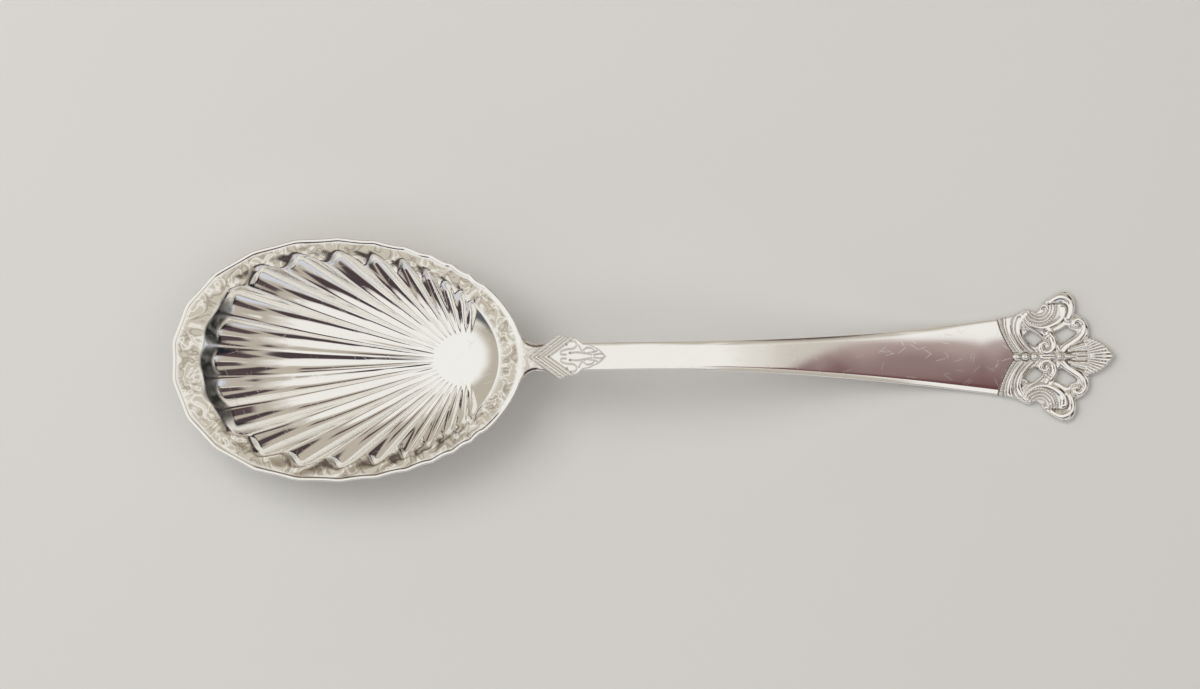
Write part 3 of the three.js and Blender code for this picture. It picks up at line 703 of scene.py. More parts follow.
def sunk_share(height, reach):
    """How far each spot of a height grid lies below the mean of its surroundings, reach cells around it."""
    width = 2 * reach + 1
    around = np.concatenate([height[:, reach:0:-1], height], axis=1)
    around = np.pad(around, ((reach, reach), (0, reach)), mode="edge")
    for axis in (0, 1):
        total = np.cumsum(np.insert(around, 0, 0.0, axis=axis), axis=axis)
        count = total.shape[axis]
        around = np.take(total, range(width, count), axis) - np.take(total, range(count - width), axis)
        around = around / width
    return around - height


SHADE_REACH = 0.45  # how far around a spot its surroundings count, for the painted shade in the recesses
SHADE_DEPTH = 0.27  # depth below them at which the painted shade is full
STRUCK_SHARP = 50.0  # degrees at which an edge of the relief is shaded sharp


def both_halves(upper):
    """The upper half's grid with its mirror image in front of it."""
    return np.concatenate([upper[:, :0:-1], upper], axis=1)


def plate_skin(plan, quads, top, base):
    """Closed skin of a plate: its quads on the top, turned over on the base, and a wall at each border."""
    count = len(plan)
    points = np.concatenate([np.column_stack([plan, top]), np.column_stack([plan, base])])
    edges = np.stack([quads, np.roll(quads, -1, axis=1)], axis=-1).reshape(-1, 2)
    code = edges[:, 0] * count + edges[:, 1]
    border = edges[~np.isin(code, edges[:, 1] * count + edges[:, 0])]
    walls = np.stack([border[:, 1], border[:, 0], border[:, 0] + count, border[:, 1] + count], axis=-1)
    return points, np.concatenate([quads, quads[:, ::-1] + count, walls])


def struck_plate(outlines, pitch, relief):
    """Points, quads and painted shade in the recesses of a closed plate whose top follows relief and whose
    back is flat.

    A square grid is laid over the plate. Cells with any corner on the metal are kept, and their outer
    corners are drawn in to the nearest spot of the outline. outlines are for the upper half, and relief
    gives top and base height for arrays of places there, which the lower half mirrors.
    """
    low = outlines[0].min(axis=0)
    high = outlines[0].max(axis=0)
    xs = np.arange(low[0] - pitch, high[0] + 2.0 * pitch, pitch)
    ts = np.arange(0.0, high[1] + 2.0 * pitch, pitch)
    grid = np.stack(np.meshgrid(xs, ts, indexing="ij"), axis=-1)
    gap, spot = signed_gap(outlines, grid.reshape(-1, 2))
    outer = (gap > 0).reshape(len(xs), len(ts))
    place = np.where(outer[..., None], spot.reshape(grid.shape), grid)
    place[:, 0, 1] = 0.0
    heights = relief(place[..., 0].ravel(), place[..., 1].ravel())
    top, base = (height.reshape(outer.shape) for height in heights)
    # Painted shade: how far each spot lies below its surroundings sets how dark its tone is.
    recess = np.clip(sunk_share(top, round(SHADE_REACH / pitch)) / SHADE_DEPTH, 0.0, 1.0)
    plan = both_halves(place)
    plan[:, :len(ts) - 1, 1] *= -1.0
    metal = both_halves(~outer).ravel()
    quads = grid_quads(*plan.shape[:2])
    used, packed = np.unique(quads[metal[quads].any(axis=1)], return_inverse=True)
    upper, lower, tone = (both_halves(part).ravel()[used] for part in (top, base, recess))
    points, quads = plate_skin(plan.reshape(-1, 2)[used], packed.reshape(-1, 4), upper, lower)
    single, number = merged(points)
    shade = np.zeros(len(single))
    shade[number] = np.concatenate([tone, np.zeros(len(used))])
    return single, number[quads], shade


# Crown, drawn in millimetres from its corners along the axis, and out from the axis

HOOK_EDGE = [(0, 9.8), (3.8, 10.6), (5.9, 11.6), (7.3, 12.25), (8.5, 11.8), (9.4, 11.4)]
LOBE_EDGE = [(9.4, 11.4), (10.6, 12.1), (11.3, 13.3), (12.2, 14.3), (13.7, 15.2), (15.2, 16.1), (16.8, 16.6),
             (18.4, 16.2), (19.5, 15.0), (19.9, 13.2), (19.7, 11.1)]
SCROLL_EDGE = [(19.7, 11.1), (20.9, 10.6), (22.4, 9.4), (23.2, 7.6), (23.35, 5.8), (23.4, 4.8)]
PALMETTE_EDGE = [(23.4, 4.8), (25, 4.3), (26.8, 3.3), (28.5, 1.8), (29.8, 0)]
PIERCED = [
    [(6.6, 5.1), (7.3, 5.75), (8.2, 6.65), (9.95, 5.75), (11.3, 4.3), (10.2, 3.6), (9.5, 2.65), (8.0, 3.75)],
    [(14.5, 6.05), (15.9, 6.75), (17.6, 7.7), (18.6, 6.8), (20.05, 6.1), (18.2, 4.6), (15.8, 3.2),
     (15.1, 4.6)],
]
CROWN_PITCH = 0.125
CROWN_GROUND = 1.62
CROWN_EDGE = (0.6, 0.42)  # width and drop of the rounded edge on the top
CROWN_BACK_EDGE = (0.3, 0.25)  # the same on the back
BEAD_PITCH = 0.66
BORDER_BANDS = [
    # distance from the border's line, half width, height above the ground
    (1.25, 0.3, 0.34),
    (2.15, 0.72, 0.46),
    (3.2, 0.36, 0.38),
    (4.3, 0.82, 0.52),
]
BORDER_BEADS = (0.5, 0.46, 0.55)  # the same for its bead row
BORDER_VALLEY = 0.35
REED_CENTRE = (10.6, 12.6)
REEDS = [(radius, 0.46, 0.42) for radius in (2.1, 2.9, 3.7)]  # radius, half width, height above the ground
REED_BEADS = (4.4, 0.32, 0.4)  # the same for the row of fine beads outside the reeds
REED_VALLEY = 0.4
REED_START = (186.0, 196.0)  # degrees round their centre
REED_STOP = (8.0, 26.0)
PALMETTE_CENTRE = 18.0
PALMETTE_RIB = 5.5  # degrees from one rib to the next
PALMETTE_START = (4.7, 5.3)  # distance from its centre
PALMETTE_SPREAD = (39.0, 44.0)  # degrees from the axis
PALMETTE_HEIGHT = 0.35
PALMETTE_RIB_HEIGHT = 0.2
RIDGE_FULLNESS = 1.3  # how much wider than drawn a ridge swells out at its foot
RIDGE_STRIKE = 0.9  # how much of its drawn height is struck
CROWN_RIDGES = [
    # path, half width at its start and end, height above the ground
    ([(6.9, 10.6), (7.2, 9.4), (8.4, 8.2), (10.2, 7.5), (12.2, 7.5), (14.2, 8.2), (15.9, 9.3), (16.9, 10.8),
      (16.9, 12.3)], (0.5, 0.8), 0.5),
    ([(5.5, 10.6), (6.3, 11.4), (7.3, 11.6), (8.1, 11.1)], (0.6, 0.45), 0.62),
    ([(6.1, 10.6), (6.6, 8.8), (7.8, 7.4), (9.6, 6.2), (11.2, 4.9)], (0.5, 0.6), 0.5),
    ([(5.4, 10.3), (5.9, 8.6), (7.0, 7.0)], (0.3, 0.25), 0.38),
    ([(13.2, 14.0), (14.6, 14.9), (16.4, 15.3), (18.1, 14.5), (18.9, 13.0), (18.7, 11.2), (18.0, 9.8)],
     (1.0, 0.9), 0.78),
    ([(11.4, 13.2), (12.4, 12.9), (12.9, 12.0)], (0.9, 0.55), 0.62),
    ([(12.9, 6.9), (13.9, 5.3), (14.7, 3.8), (15.2, 2.4), (15.7, 1.1)], (1.0, 0.5), 0.42),
    ([(13.2, 5.8), (14.2, 4.6), (14.5, 3.2), (14.0, 1.95), (12.9, 1.15), (11.7, 1.25), (11.0, 2.1),
      (11.1, 3.1), (11.9, 3.6), (12.7, 3.1), (12.6, 2.5)], (0.85, 0.62), 0.72),
    ([(16.4, 1.3), (17.5, 2.5), (19.4, 3.8), (21.0, 5.0), (21.9, 6.3), (22.1, 7.7), (21.6, 8.9), (20.6, 9.5),
      (19.6, 9.0), (19.5, 8.1), (20.3, 7.9)], (1.05, 0.62), 0.75),
    ([(21.6, 4.4), (22.8, 5.9), (23.0, 7.4), (22.6, 8.8)], (0.4, 0.35), 0.4),
    ([(18.3, 1.45), (20.2, 2.2), (22.3, 2.65)], (0.45, 0.55), 0.6),
    ([(20.2, 0.4), (22.4, 0.45), (24.6, 0.15)], (0.34, 0.3), 0.5),
    ([(16.6, 0.0), (18.6, 0.0), (20.3, 0.0)], (0.8, 0.15), 0.7),
    ([(9.4, 0.3), (12.5, 0.3), (15.0, 0.3)], (0.45, 0.45), 0.5),
    ([(25.5, 0.0), (27.5, 0.0), (29.4, 0.0)], (0.2, 0.6), 0.4),
]
CROWN_GROOVES = [
    # path, half width, depth
    ([(14.2, 13.5), (15.3, 13.5), (16.5, 13.6), (17.6, 13.0), (17.9, 11.8), (17.4, 10.2)], 0.3, 0.35),
    ([(20.6, 5.6), (21.4, 6.8), (21.4, 8.0)], 0.22, 0.2),
    ([(12.2, 5.2), (13.2, 5.8)], 0.2, 0.22),
    ([(12.6, 4.6), (13.6, 5.2)], 0.2, 0.22),
    ([(17.8, 0.8), (20.0, 1.2), (22.8, 1.3)], 0.26, 0.34),
    ([(18.6, 2.5), (20.8, 3.3), (22.8, 3.7)], 0.26, 0.3),
]
BEADS = [
    # place on the axis, radii along, across and up
    (4.8, (1.08, 1.08, 1.0)),
    (7.0, (1.14, 0.95, 0.95)),
    (9.4, (1.08, 1.08, 1.0)),
]
BOSS = (15.8, (0.82, 0.82, 0.9))
BEAD_SUNK = 0.05  # how far a bead stands in the ground
SEATS = [(place, 0.3) for place, _ in BEADS] + [(BOSS[0], 0.12)]  # place and depth of each bead's seat
SEAT_WALL = (1.05, 1.4)  # distance from its middle over which a seat ends
SEAT_CLEAR = (0.85, 1.5)  # and over which the relief around it starts


def crown_reeds(s, t):
    """Reeds and a row of fine beads on arcs round one centre."""
    along, out = s - REED_CENTRE[0], t - REED_CENTRE[1]
    turn = np.degrees(np.arctan2(out, along)) % 360.0
    swept = smoothstep(turn, *REED_START) + 1.0 - smoothstep(turn, *REED_STOP)
    way = np.radians(turn) * REED_BEADS[0]
    return swept * banded(np.hypot(along, out), way, REEDS, REED_BEADS, BEAD_PITCH, REED_VALLEY)


def crown_palmette(s, t):
    """Fan round a place on the axis, with a rib every few degrees."""
    turn = np.degrees(np.arctan2(t, s - PALMETTE_CENTRE))
    rib = np.abs(np.cos(math.pi * turn / PALMETTE_RIB)) ** 0.8
    within = smoothstep(np.hypot(s - PALMETTE_CENTRE, t), *PALMETTE_START)
    within = within * (1.0 - smoothstep(turn, *PALMETTE_SPREAD))
    return within * (PALMETTE_HEIGHT + PALMETTE_RIB_HEIGHT * rib)


def crown_relief(x, t):
    """Top and base height of the crown: bands, reeds, scrolls and a ribbed fan raised on a ground."""
    s = x - CROWN_X
    spread = 1.0 + BORDER_SPREAD * (2.0 * t / STEM_END_HALF_WIDTH - 1.0) ** 2
    offset = (x - border_x(t)) / spread
    rise = banded(offset, t, BORDER_BANDS, BORDER_BEADS, BEAD_PITCH, BORDER_VALLEY)
    rise = np.maximum(rise, np.maximum(crown_reeds(s, t), crown_palmette(s, t)))
    for path, (first, last), height in CROWN_RIDGES:
        halves = (RIDGE_FULLNESS * first, RIDGE_FULLNESS * last)
        rise = np.maximum(rise, RIDGE_STRIKE * height * along_line(path, halves, s, t, swell))
    for path, half, depth in CROWN_GROOVES:
        rise = rise - depth * along_line(path, (half, half), s, t, mellow)
    for place, depth in SEATS:
        away = np.hypot(s - place, t)
        rise = rise * smoothstep(away, *SEAT_CLEAR) - depth * (1.0 - smoothstep(away, *SEAT_WALL))
    gap = signed_gap(CROWN_OUTLINES, np.stack([x, t], axis=-1))[0]
    width, drop = CROWN_EDGE
    edge = np.clip(1.0 + gap / width, 0.0, 1.0) * smoothstep(offset, 0.3, 1.2)
    back_width, back_drop = CROWN_BACK_EDGE
    base = back_drop * np.clip(1.0 + gap / back_width, 0.0, 1.0) ** 2
    return CROWN_GROUND + rise - drop * edge ** 2.5, base


def half_outline(stretches, corner):
    """Closed outline of a motif's upper half from the axis round its edge and back along the axis."""
    lines = [smooth_line(points, steps=8)[:-1] for points in stretches]
    end = stretches[-1][-1]
    below = -1.0  # the outline closes under the axis, so that the axis itself isn't an edge
    return np.concatenate([*lines, [end, (end[0], below), (corner, below)]])


def crown_outlines():
    """Outline of the crown's upper half and of its two openings there."""
    t = np.linspace(0.0, STEM_END_HALF_WIDTH, 40)[:-1]
    border = np.stack([border_x(t) - CROWN_X, t], axis=-1)
    edge = half_outline([HOOK_EDGE, LOBE_EDGE, SCROLL_EDGE, PALMETTE_EDGE], BORDER_REACH)
    outline = np.concatenate([border, edge])
    openings = [smooth_line(hole, closed=True, steps=8) for hole in PIERCED]
    return [line + np.array([CROWN_X, 0.0]) for line in [outline, *openings]]


CROWN_OUTLINES = crown_outlines()


def make_crown(material):
    """Pierced crown, struck with its border, reeds, scrolls and palmette."""
    points, quads, recess = struck_plate(CROWN_OUTLINES, CROWN_PITCH, crown_relief)
    make_piece("crown_relief", points, quads, "struck_silver", ["crown"], material,
               sharp=STRUCK_SHARP, recess=recess)


def make_bead(name, place, radii, node_name, material):
    """Bead on the crown's axis: the upper half of an ellipsoid, flat where it is soldered on."""
    around = np.linspace(0.0, 2.0 * math.pi, 49)[None, :]
    up = np.linspace(-0.5 * math.pi, 0.5 * math.pi, 25)[:, None]
    x = CROWN_X + place + radii[0] * np.cos(up) * np.cos(around)
    y = radii[1] * np.cos(up) * np.sin(around)
    z = CROWN_GROUND - BEAD_SUNK + np.maximum(radii[2] * np.sin(up), 0.0) + 0.0 * around
    points, quads = welded([np.stack([x, y, z], axis=-1)])
    make_piece(name, points, quads, "struck_silver", [node_name], material)


# Shoulder ornament, drawn from the lozenge's tip along the axis, and out from the axis

LOZENGE_TIP = -1.8
LOZENGE_EDGE = [(LOZENGE_TIP, 0), (2.15, 2.9), (6.1, 5.8)]
VOLUTE_EDGE = [(6.1, 5.8), (7.2, 5.35), (8.3, 4.9), (9.5, 4.85), (10.6, 4.5), (11.6, 3.7), (12.2, 3.2)]
LEAF_EDGE = [(12.2, 3.2), (13.6, 3.0), (15.2, 2.3), (16.7, 1.2), (17.8, 0)]
SHOULDER_PITCH = 0.08
SHOULDER_GROUND = 0.95
SHOULDER_EDGE = (0.3, 0.3)  # width and drop of the rounded edge
SHOULDER_SHADE = 0.65  # how much of the painted shade in the recesses it has
SHOULDER_GROOVES = [
    # path, half width, depth
    ([(9.2, 3.9), (10.3, 3.7), (10.6, 2.7), (9.7, 1.95), (8.3, 1.85), (6.8, 1.35), (6.7, 0.6), (7.9, 0.5)],
     0.3, 0.26),
    ([(9.1, 0.9), (11.0, 1.0), (13.0, 0.72), (14.4, 0.45)], 0.28, 0.24),
    ([(11.2, 2.7), (11.8, 1.6), (12.6, 1.0)], 0.28, 0.22),
    ([(12.4, 1.5), (13.2, 2.1), (14.4, 2.0), (15.0, 1.5)], 0.26, 0.2),
    ([(13.6, 0.8), (14.8, 1.0), (15.8, 1.35)], 0.26, 0.2),
    ([(15.0, 0.3), (16.4, 0.55), (17.2, 0.5)], 0.24, 0.18),
]
SHOULDER_DOTS = [(8.9, 0.9), (8.1, 3.0)]
DOT_RADIUS = 0.36
DOT_DEPTH = 0.4
CHEVRON_BANDS = [
    # distance from the lozenge's edge along the axis, half width, height above the ground
    (2.2, 0.62, 0.4),
    (3.3, 0.42, 0.34),
    (4.6, 0.78, 0.44),
]
CHEVRON_BEADS = (0.95, 0.7, 0.6)  # the same for its bead row
CHEVRON_BEAD_PITCH = 0.86
CHEVRON_VALLEY = 0.2
VOLUTE_START = (5.4, 5.9)  # distance from the lozenge's edge over which the volutes rise
VOLUTE_HEIGHT = 0.32


def shoulder_relief(x, t):
    """Top and base height of the shoulder ornament: raised chevrons and beads, volutes and a leaf cut in."""
    s = x - SHOULDER_X
    corner_s, corner_t = LOZENGE_EDGE[-1]
    offset = s - LOZENGE_TIP - t * (corner_s - LOZENGE_TIP) / corner_t
    chevrons = banded(offset, t, CHEVRON_BANDS, CHEVRON_BEADS, CHEVRON_BEAD_PITCH, CHEVRON_VALLEY)
    rise = np.maximum(chevrons, VOLUTE_HEIGHT * smoothstep(offset, *VOLUTE_START))
    for path, half, depth in SHOULDER_GROOVES:
        rise = rise - depth * along_line(path, (half, half), s, t, mellow)
    for dot_s, dot_t in SHOULDER_DOTS:
        rise = rise - DOT_DEPTH * mellow(off_band(np.hypot(s - dot_s, t - dot_t), 0.0, DOT_RADIUS))
    gap = signed_gap(SHOULDER_OUTLINES, np.stack([x, t], axis=-1))[0]
    width, drop = SHOULDER_EDGE
    edge = np.clip(1.0 + gap / width, 0.0, 1.0)
    seat = handle_top(np.minimum(x, SEAT_END_X)) + SEAT_GAP
    return seat + SHOULDER_GROUND + rise - drop * edge ** 2, seat


SHOULDER_HALF = half_outline([LOZENGE_EDGE, VOLUTE_EDGE, LEAF_EDGE], LOZENGE_TIP)
SHOULDER_OUTLINES = [SHOULDER_HALF + np.array([SHOULDER_X, 0.0])]


def make_shoulder(material):
    """Cast lozenge with chevrons, two volutes and a leaf, seated on the neck."""
    points, quads, recess = struck_plate(SHOULDER_OUTLINES, SHOULDER_PITCH, shoulder_relief)
    make_piece("shoulder_relief", points, quads, "struck_silver", ["shoulder_ornament"], material,
               sharp=STRUCK_SHARP, recess=SHOULDER_SHADE * recess)


# Materials

def linear(code):
    """Linear colour of an sRGB hex value."""
    values = [int(code[place:place + 2], 16) / 255.0 for place in (1, 3, 5)]
    return [v / 12.92 if v <= 0.04045 else ((v + 0.055) / 1.055) ** 2.4 for v in values] + [1.0]


def node(tree, kind, inputs=None, **settings):
    """Adds a shader node with its settings, and sets or links its inputs by name or number."""
    made = tree.nodes.new("ShaderNode" + kind)
    for name, value in settings.items():
        setattr(made, name, value)
    for socket, value in (inputs or {}).items():
        if isinstance(value, bpy.types.NodeSocket):
            tree.links.new(value, made.inputs[socket])
        else:
            made.inputs[socket].default_value = value
    return made


def empty_material(name):
    """Material without nodes, and its node tree."""
    material = bpy.data.materials.new(name)
    material.use_nodes = True
    material.node_tree.nodes.clear()
    return material, material.node_tree


def new_material(name, metallic=1.0):
    """Material with one shader, a metal unless told otherwise, its node tree and that shader's inputs."""
    material, tree = empty_material(name)
    shader = node(tree, "BsdfPrincipled", {"Metallic": metallic})
    node(tree, "OutputMaterial", {"Surface": shader.outputs["BSDF"]})
    return material, tree, shader.inputs


# Polished silver: roughness, and patterns in millimetres
POLISH = (0.05, 0.11)
TARNISH_ROUGHNESS = 0.09  # added where the silver is dulled
END_ROUGHNESS = 0.3  # added in the flutes' ends, under their painted shade
CLOUD_SIZE = 11.0
SWIRL_SIZE = 5.0
PAINTED_REFLECTION_SWIRLS = [(0.42, "#A59C8F"), (0.55, "#F3F0EA")]  # painted reflections of the hammered flange: level of the noise that a swirl follows, and its colour
SWIRL_WIDTH = 0.05  # half its width, in levels of the noise
HAIRLINES = [
    # angle that a grid of cells is turned by, in degrees, and share of its cells that stays bare
    (8.0, 0.985),
    (33.0, 0.98),
    (62.0, 0.985),
    (104.0, 0.985),
    (141.0, 0.98),
    (163.0, 0.985),
]
HAIRLINE_CELL = (4.0, 0.3)  # length and width of a cell, in which one hairline can lie
HAIRLINE_FILL = 0.34  # how far it reaches from the cell's middle, as a share of the cell
HAIRLINE_ROUGHNESS = 0.17


def tarnish_colour_with_painted_swirls(tree, swirl):
    """Colour of tarnish, a grey-beige ground, with dark and pale swirls painted on it as distorted
    reflections, where a noise crosses two levels.
    """
    colour = linear("#CDC6B9")
    for level, code in PAINTED_REFLECTION_SWIRLS:
        off = node(tree, "Math", {0: swirl, 1: level}, operation="SUBTRACT").outputs[0]
        away = node(tree, "Math", {0: off}, operation="ABSOLUTE").outputs[0]
        line = node(tree, "MapRange", {"Value": away, "From Min": SWIRL_WIDTH, "From Max": 0.0})
        colour = node(tree, "Mix", {"Factor": line.outputs["Result"], "A": colour, "B": linear(code)},
                      data_type="RGBA").outputs["Result"]
    return colour


def hairlined(tree, place, rough):
    """Roughness with hairlines, which lie in a few cells, chosen by lot, of grids turned several ways.

    Real ones are a few hundredths of a millimetre wide. These are drawn 0.2 mm wide, so that they show.
    """
    length, width = HAIRLINE_CELL
    for turn, bare in HAIRLINES:
        turned = node(tree, "VectorRotate", {"Vector": place, "Angle": math.radians(turn)},
                      rotation_type="Z_AXIS").outputs["Vector"]
        scale = (1.0 / (length * MM), 1.0 / (width * MM), 0.0)
        sized = node(tree, "VectorMath", {0: turned, 1: scale}, operation="MULTIPLY").outputs[0]
        cells = node(tree, "TexVoronoi", {"Vector": sized, "Scale": 1.0}, voronoi_dimensions="2D").outputs
        near = node(tree, "Math", {0: cells["Distance"], 1: HAIRLINE_FILL}, operation="LESS_THAN").outputs[0]
        lot = node(tree, "SeparateColor", {0: cells["Color"]}).outputs[0]
        chosen = node(tree, "Math", {0: lot, 1: bare}, operation="GREATER_THAN").outputs[0]
        line = node(tree, "Math", {0: near, 1: chosen}, operation="MULTIPLY").outputs[0]
        rough = node(tree, "Math", {0: line, 1: HAIRLINE_ROUGHNESS, 2: rough},
                     operation="MULTIPLY_ADD").outputs[0]
    return rough


def polished_silver():
    """Polished 830 silver: a mirror, slightly warm, with the hairlines that use and cloths leave.

    Where the cloth seldom reaches it is dulled by tarnish, with dark and pale swirls painted on it as
    reflections, and painted shade darkens the ends of the flutes.
    """
    material, tree, shader = new_material("polished_silver_hairlined")
    dulled = node(tree, "Attribute", attribute_name="dulled").outputs["Fac"]
    dark_end = node(tree, "Attribute", attribute_name="dark_end").outputs["Fac"]
    place = node(tree, "TexCoord").outputs["Object"]
    swirl = node(tree, "TexNoise", {"Vector": place, "Scale": 1.0 / (SWIRL_SIZE * MM), "Detail": 1.0,
                                    "Distortion": 1.8}).outputs["Fac"]
    # Mix towards the tarnish and its painted reflection swirls where the flange and the neck are marked.
    tone = node(tree, "Mix", {"Factor": dulled, "A": linear("#F5F3EF"), "B": tarnish_colour_with_painted_swirls(tree, swirl)},
                data_type="RGBA").outputs["Result"]
    # Painted shade: the flutes' ends are mixed towards a dark grey, broken up by the swirl noise, in place
    # of the dark reflection in their end walls.
    broken = node(tree, "MapRange", {"Value": swirl, "From Min": 0.3, "From Max": 0.55, "To Min": 0.72})
    held = node(tree, "Math", {0: dark_end, 1: broken.outputs["Result"]}, operation="MULTIPLY").outputs[0]
    ends = node(tree, "Mix", {"Factor": held, "A": tone, "B": linear("#3C3E3B")}, data_type="RGBA")
    tree.links.new(ends.outputs["Result"], shader["Base Color"])
    cloud = node(tree, "TexNoise", {"Vector": place, "Scale": 1.0 / (CLOUD_SIZE * MM), "Detail": 3.0})
    rough = node(tree, "MapRange", {"Value": cloud.outputs["Fac"], "To Min": POLISH[0], "To Max": POLISH[1]})
    worn = rough.outputs["Result"]
    for mark, added in ((dulled, TARNISH_ROUGHNESS), (dark_end, END_ROUGHNESS)):
        worn = node(tree, "Math", {0: mark, 1: added, 2: worn}, operation="MULTIPLY_ADD").outputs[0]
    tree.links.new(hairlined(tree, place, worn), shader["Roughness"])
    return material


def struck_silver():
    """Struck silver: softer polish on the crests, and painted shade in the sunk ground, a grey tone that is
    also rougher.
    """
    material, tree, shader = new_material("struck_silver_recess_shade")
    recess = node(tree, "Attribute", attribute_name="recess").outputs["Fac"]
    # Painted shade: the sunk ground is mixed towards a grey by how far it lies below its surroundings.
    tone = node(tree, "Mix", {"Factor": recess, "A": linear("#F4F2EE"), "B": linear("#B2AAA1")},
                data_type="RGBA")
    tree.links.new(tone.outputs["Result"], shader["Base Color"])
    rough = node(tree, "MapRange", {"Value": recess, "To Min": 0.12, "To Max": 0.36})
    tree.links.new(rough.outputs["Result"], shader["Roughness"])
    return material


def silver_solder():
    """Silver solder, filed flush: a little greyer and duller than the silver beside it."""
    material, tree, shader = new_material("silver_solder_filed")
    shader["Base Color"].default_value = linear("#CFC8BE")
    place = node(tree, "TexCoord").outputs["Object"]
    cloud = node(tree, "TexNoise", {"Vector": place, "Scale": 1.0 / (1.1 * MM), "Detail": 2.0})
    rough = node(tree, "MapRange", {"Value": cloud.outputs["Fac"], "To Min": 0.3, "To Max": 0.45})
    tree.links.new(rough.outputs["Result"], shader["Roughness"])
    return material


# Stage, light and camera

def stage_sheet(name, low, high, level, material):
    """Level rectangle between two corners in millimetres, at a given level, with a material."""
    corners = [(low[0], low[1]), (high[0], low[1]), (high[0], high[1]), (low[0], high[1])]
    mesh = bpy.data.meshes.new(name)
    mesh.from_pydata([(x * MM, y * MM, level * MM) for x, y in corners], [], [(0, 1, 2, 3)])
    mesh.materials.append(material)
    sheet = bpy.data.objects.new(name, mesh)
    bpy.context.scene.collection.objects.link(sheet)
    return sheet


FLOOR_REACH = 3000.0
FLOOR_LEVEL = -0.05


def make_floor():
    """Plain pale floor, matt like paper."""
    material, _, shader = new_material("pale_floor_matt", metallic=0.0)
    shader["Base Color"].default_value = linear("#D6D5D3")
    shader["Roughness"].default_value = 0.8
    stage_sheet("floor", (-FLOOR_REACH, -FLOOR_REACH), (FLOOR_REACH, FLOOR_REACH), FLOOR_LEVEL, material)


# What the silver mirrors, by its direction in the room: bearing from +X and its half width, angle from
# straight up and its half width, softness of the edges, all in degrees, and colour
ROOM = [
    ("bright ceiling", 0.0, 220.0, 0.0, 38.0, 7.0, "#F6F5F2"),
    ("near wall", 160.0, 45.0, 88.0, 12.0, 3.0, "#BDB6A9"),
    ("window", 198.0, 58.0, 55.0, 21.0, 2.5, "#F8F8F6"),
    ("dark sill", 213.0, 22.0, 84.0, 2.5, 1.5, "#55585C"),
    ("far wall", 0.0, 60.0, 72.0, 26.0, 6.0, "#BDB5AA"),
    ("bright door frame", 0.5, 2.0, 70.0, 17.0, 1.0, "#F2EFE8"),
    ("door", 12.0, 10.0, 72.0, 14.0, 2.5, "#56474A"),
    ("side wall", 84.0, 34.0, 63.0, 27.0, 6.0, "#BFB7AB"),
    ("door's foot", 12.0, 10.0, 80.0, 7.0, 3.0, "#1F2329"),
    ("chair", 46.0, 10.0, 69.0, 16.0, 3.0, "#4E4144"),
    ("picture rail", 108.0, 34.0, 55.0, 5.0, 2.0, "#5A4E50"),
    ("shelf", -34.0, 10.0, 70.0, 14.0, 2.5, "#56474A"),
    ("shelf's foot", -34.0, 10.0, 80.0, 7.0, 3.0, "#1F2329"),
    ("screen", -84.0, 31.0, 53.0, 11.0, 3.0, "#4A3F43"),
    ("screen's wing", -127.0, 13.0, 59.0, 7.0, 2.5, "#4A3F43"),
    ("dark low wall", 0.0, 62.0, 86.0, 7.0, 3.0, "#25282C"),
    ("daylight by the shelf", -12.0, 7.0, 78.0, 8.0, 3.0, "#D6DAE8"),
    ("daylight by the screen", -80.0, 30.0, 81.0, 9.0, 3.0, "#D6D9E3"),
]
MOTTLE_SIZE = 11.5  # in degrees


def make_world():
    """Pale beige room with mottled walls, and soft-edged fields for what stands or shines in it."""
    world = bpy.data.worlds.new("studio_room")
    bpy.context.scene.world = world
    world.use_nodes = True
    tree = world.node_tree
    tree.nodes.clear()
    way = node(tree, "TexCoord").outputs["Generated"]
    height = node(tree, "SeparateXYZ", {0: way}).outputs["Z"]
    from_top = node(tree, "Math", {0: height}, operation="ARCCOSINE").outputs[0]
    mottle = node(tree, "TexNoise", {"Vector": way, "Scale": 1.0 / math.radians(MOTTLE_SIZE), "Detail": 3.0})
    share = node(tree, "MapRange", {"Value": mottle.outputs["Fac"], "From Min": 0.35, "From Max": 0.65})
    walls = {"Factor": share.outputs["Result"], "A": linear("#B4ACA3"), "B": linear("#EFECE6")}
    colour = node(tree, "Mix", walls, data_type="RGBA").outputs["Result"]
    for name, bearing, half_bearing, polar, half_polar, soft, code in ROOM:
        turned = node(tree, "VectorRotate", {"Vector": way, "Angle": -math.radians(bearing)},
                      rotation_type="Z_AXIS").outputs["Vector"]
        parts = node(tree, "SeparateXYZ", {0: turned}).outputs
        beside = node(tree, "Math", {0: parts["Y"], 1: parts["X"]}, operation="ARCTAN2").outputs[0]
        above = node(tree, "Math", {0: from_top, 1: math.radians(polar)}, operation="SUBTRACT").outputs[0]
        field = 1.0
        for offset, half in ((beside, half_bearing), (above, half_polar)):
            away = node(tree, "Math", {0: offset}, operation="ABSOLUTE").outputs[0]
            limits = {"From Min": math.radians(half + soft), "From Max": math.radians(half - soft)}
            within = node(tree, "MapRange", {"Value": away, **limits}, interpolation_type="SMOOTHSTEP")
            field = node(tree, "Math", {0: field, 1: within.outputs["Result"]}, operation="MULTIPLY",
                         label=name).outputs[0]
        colour = node(tree, "Mix", {"Factor": field, "A": colour, "B": linear(code)},
                      data_type="RGBA").outputs["Result"]
    shade = node(tree, "Background", {"Color": colour, "Strength": 1.0})
    node(tree, "OutputWorld", {"Surface": shade.outputs["Background"]})


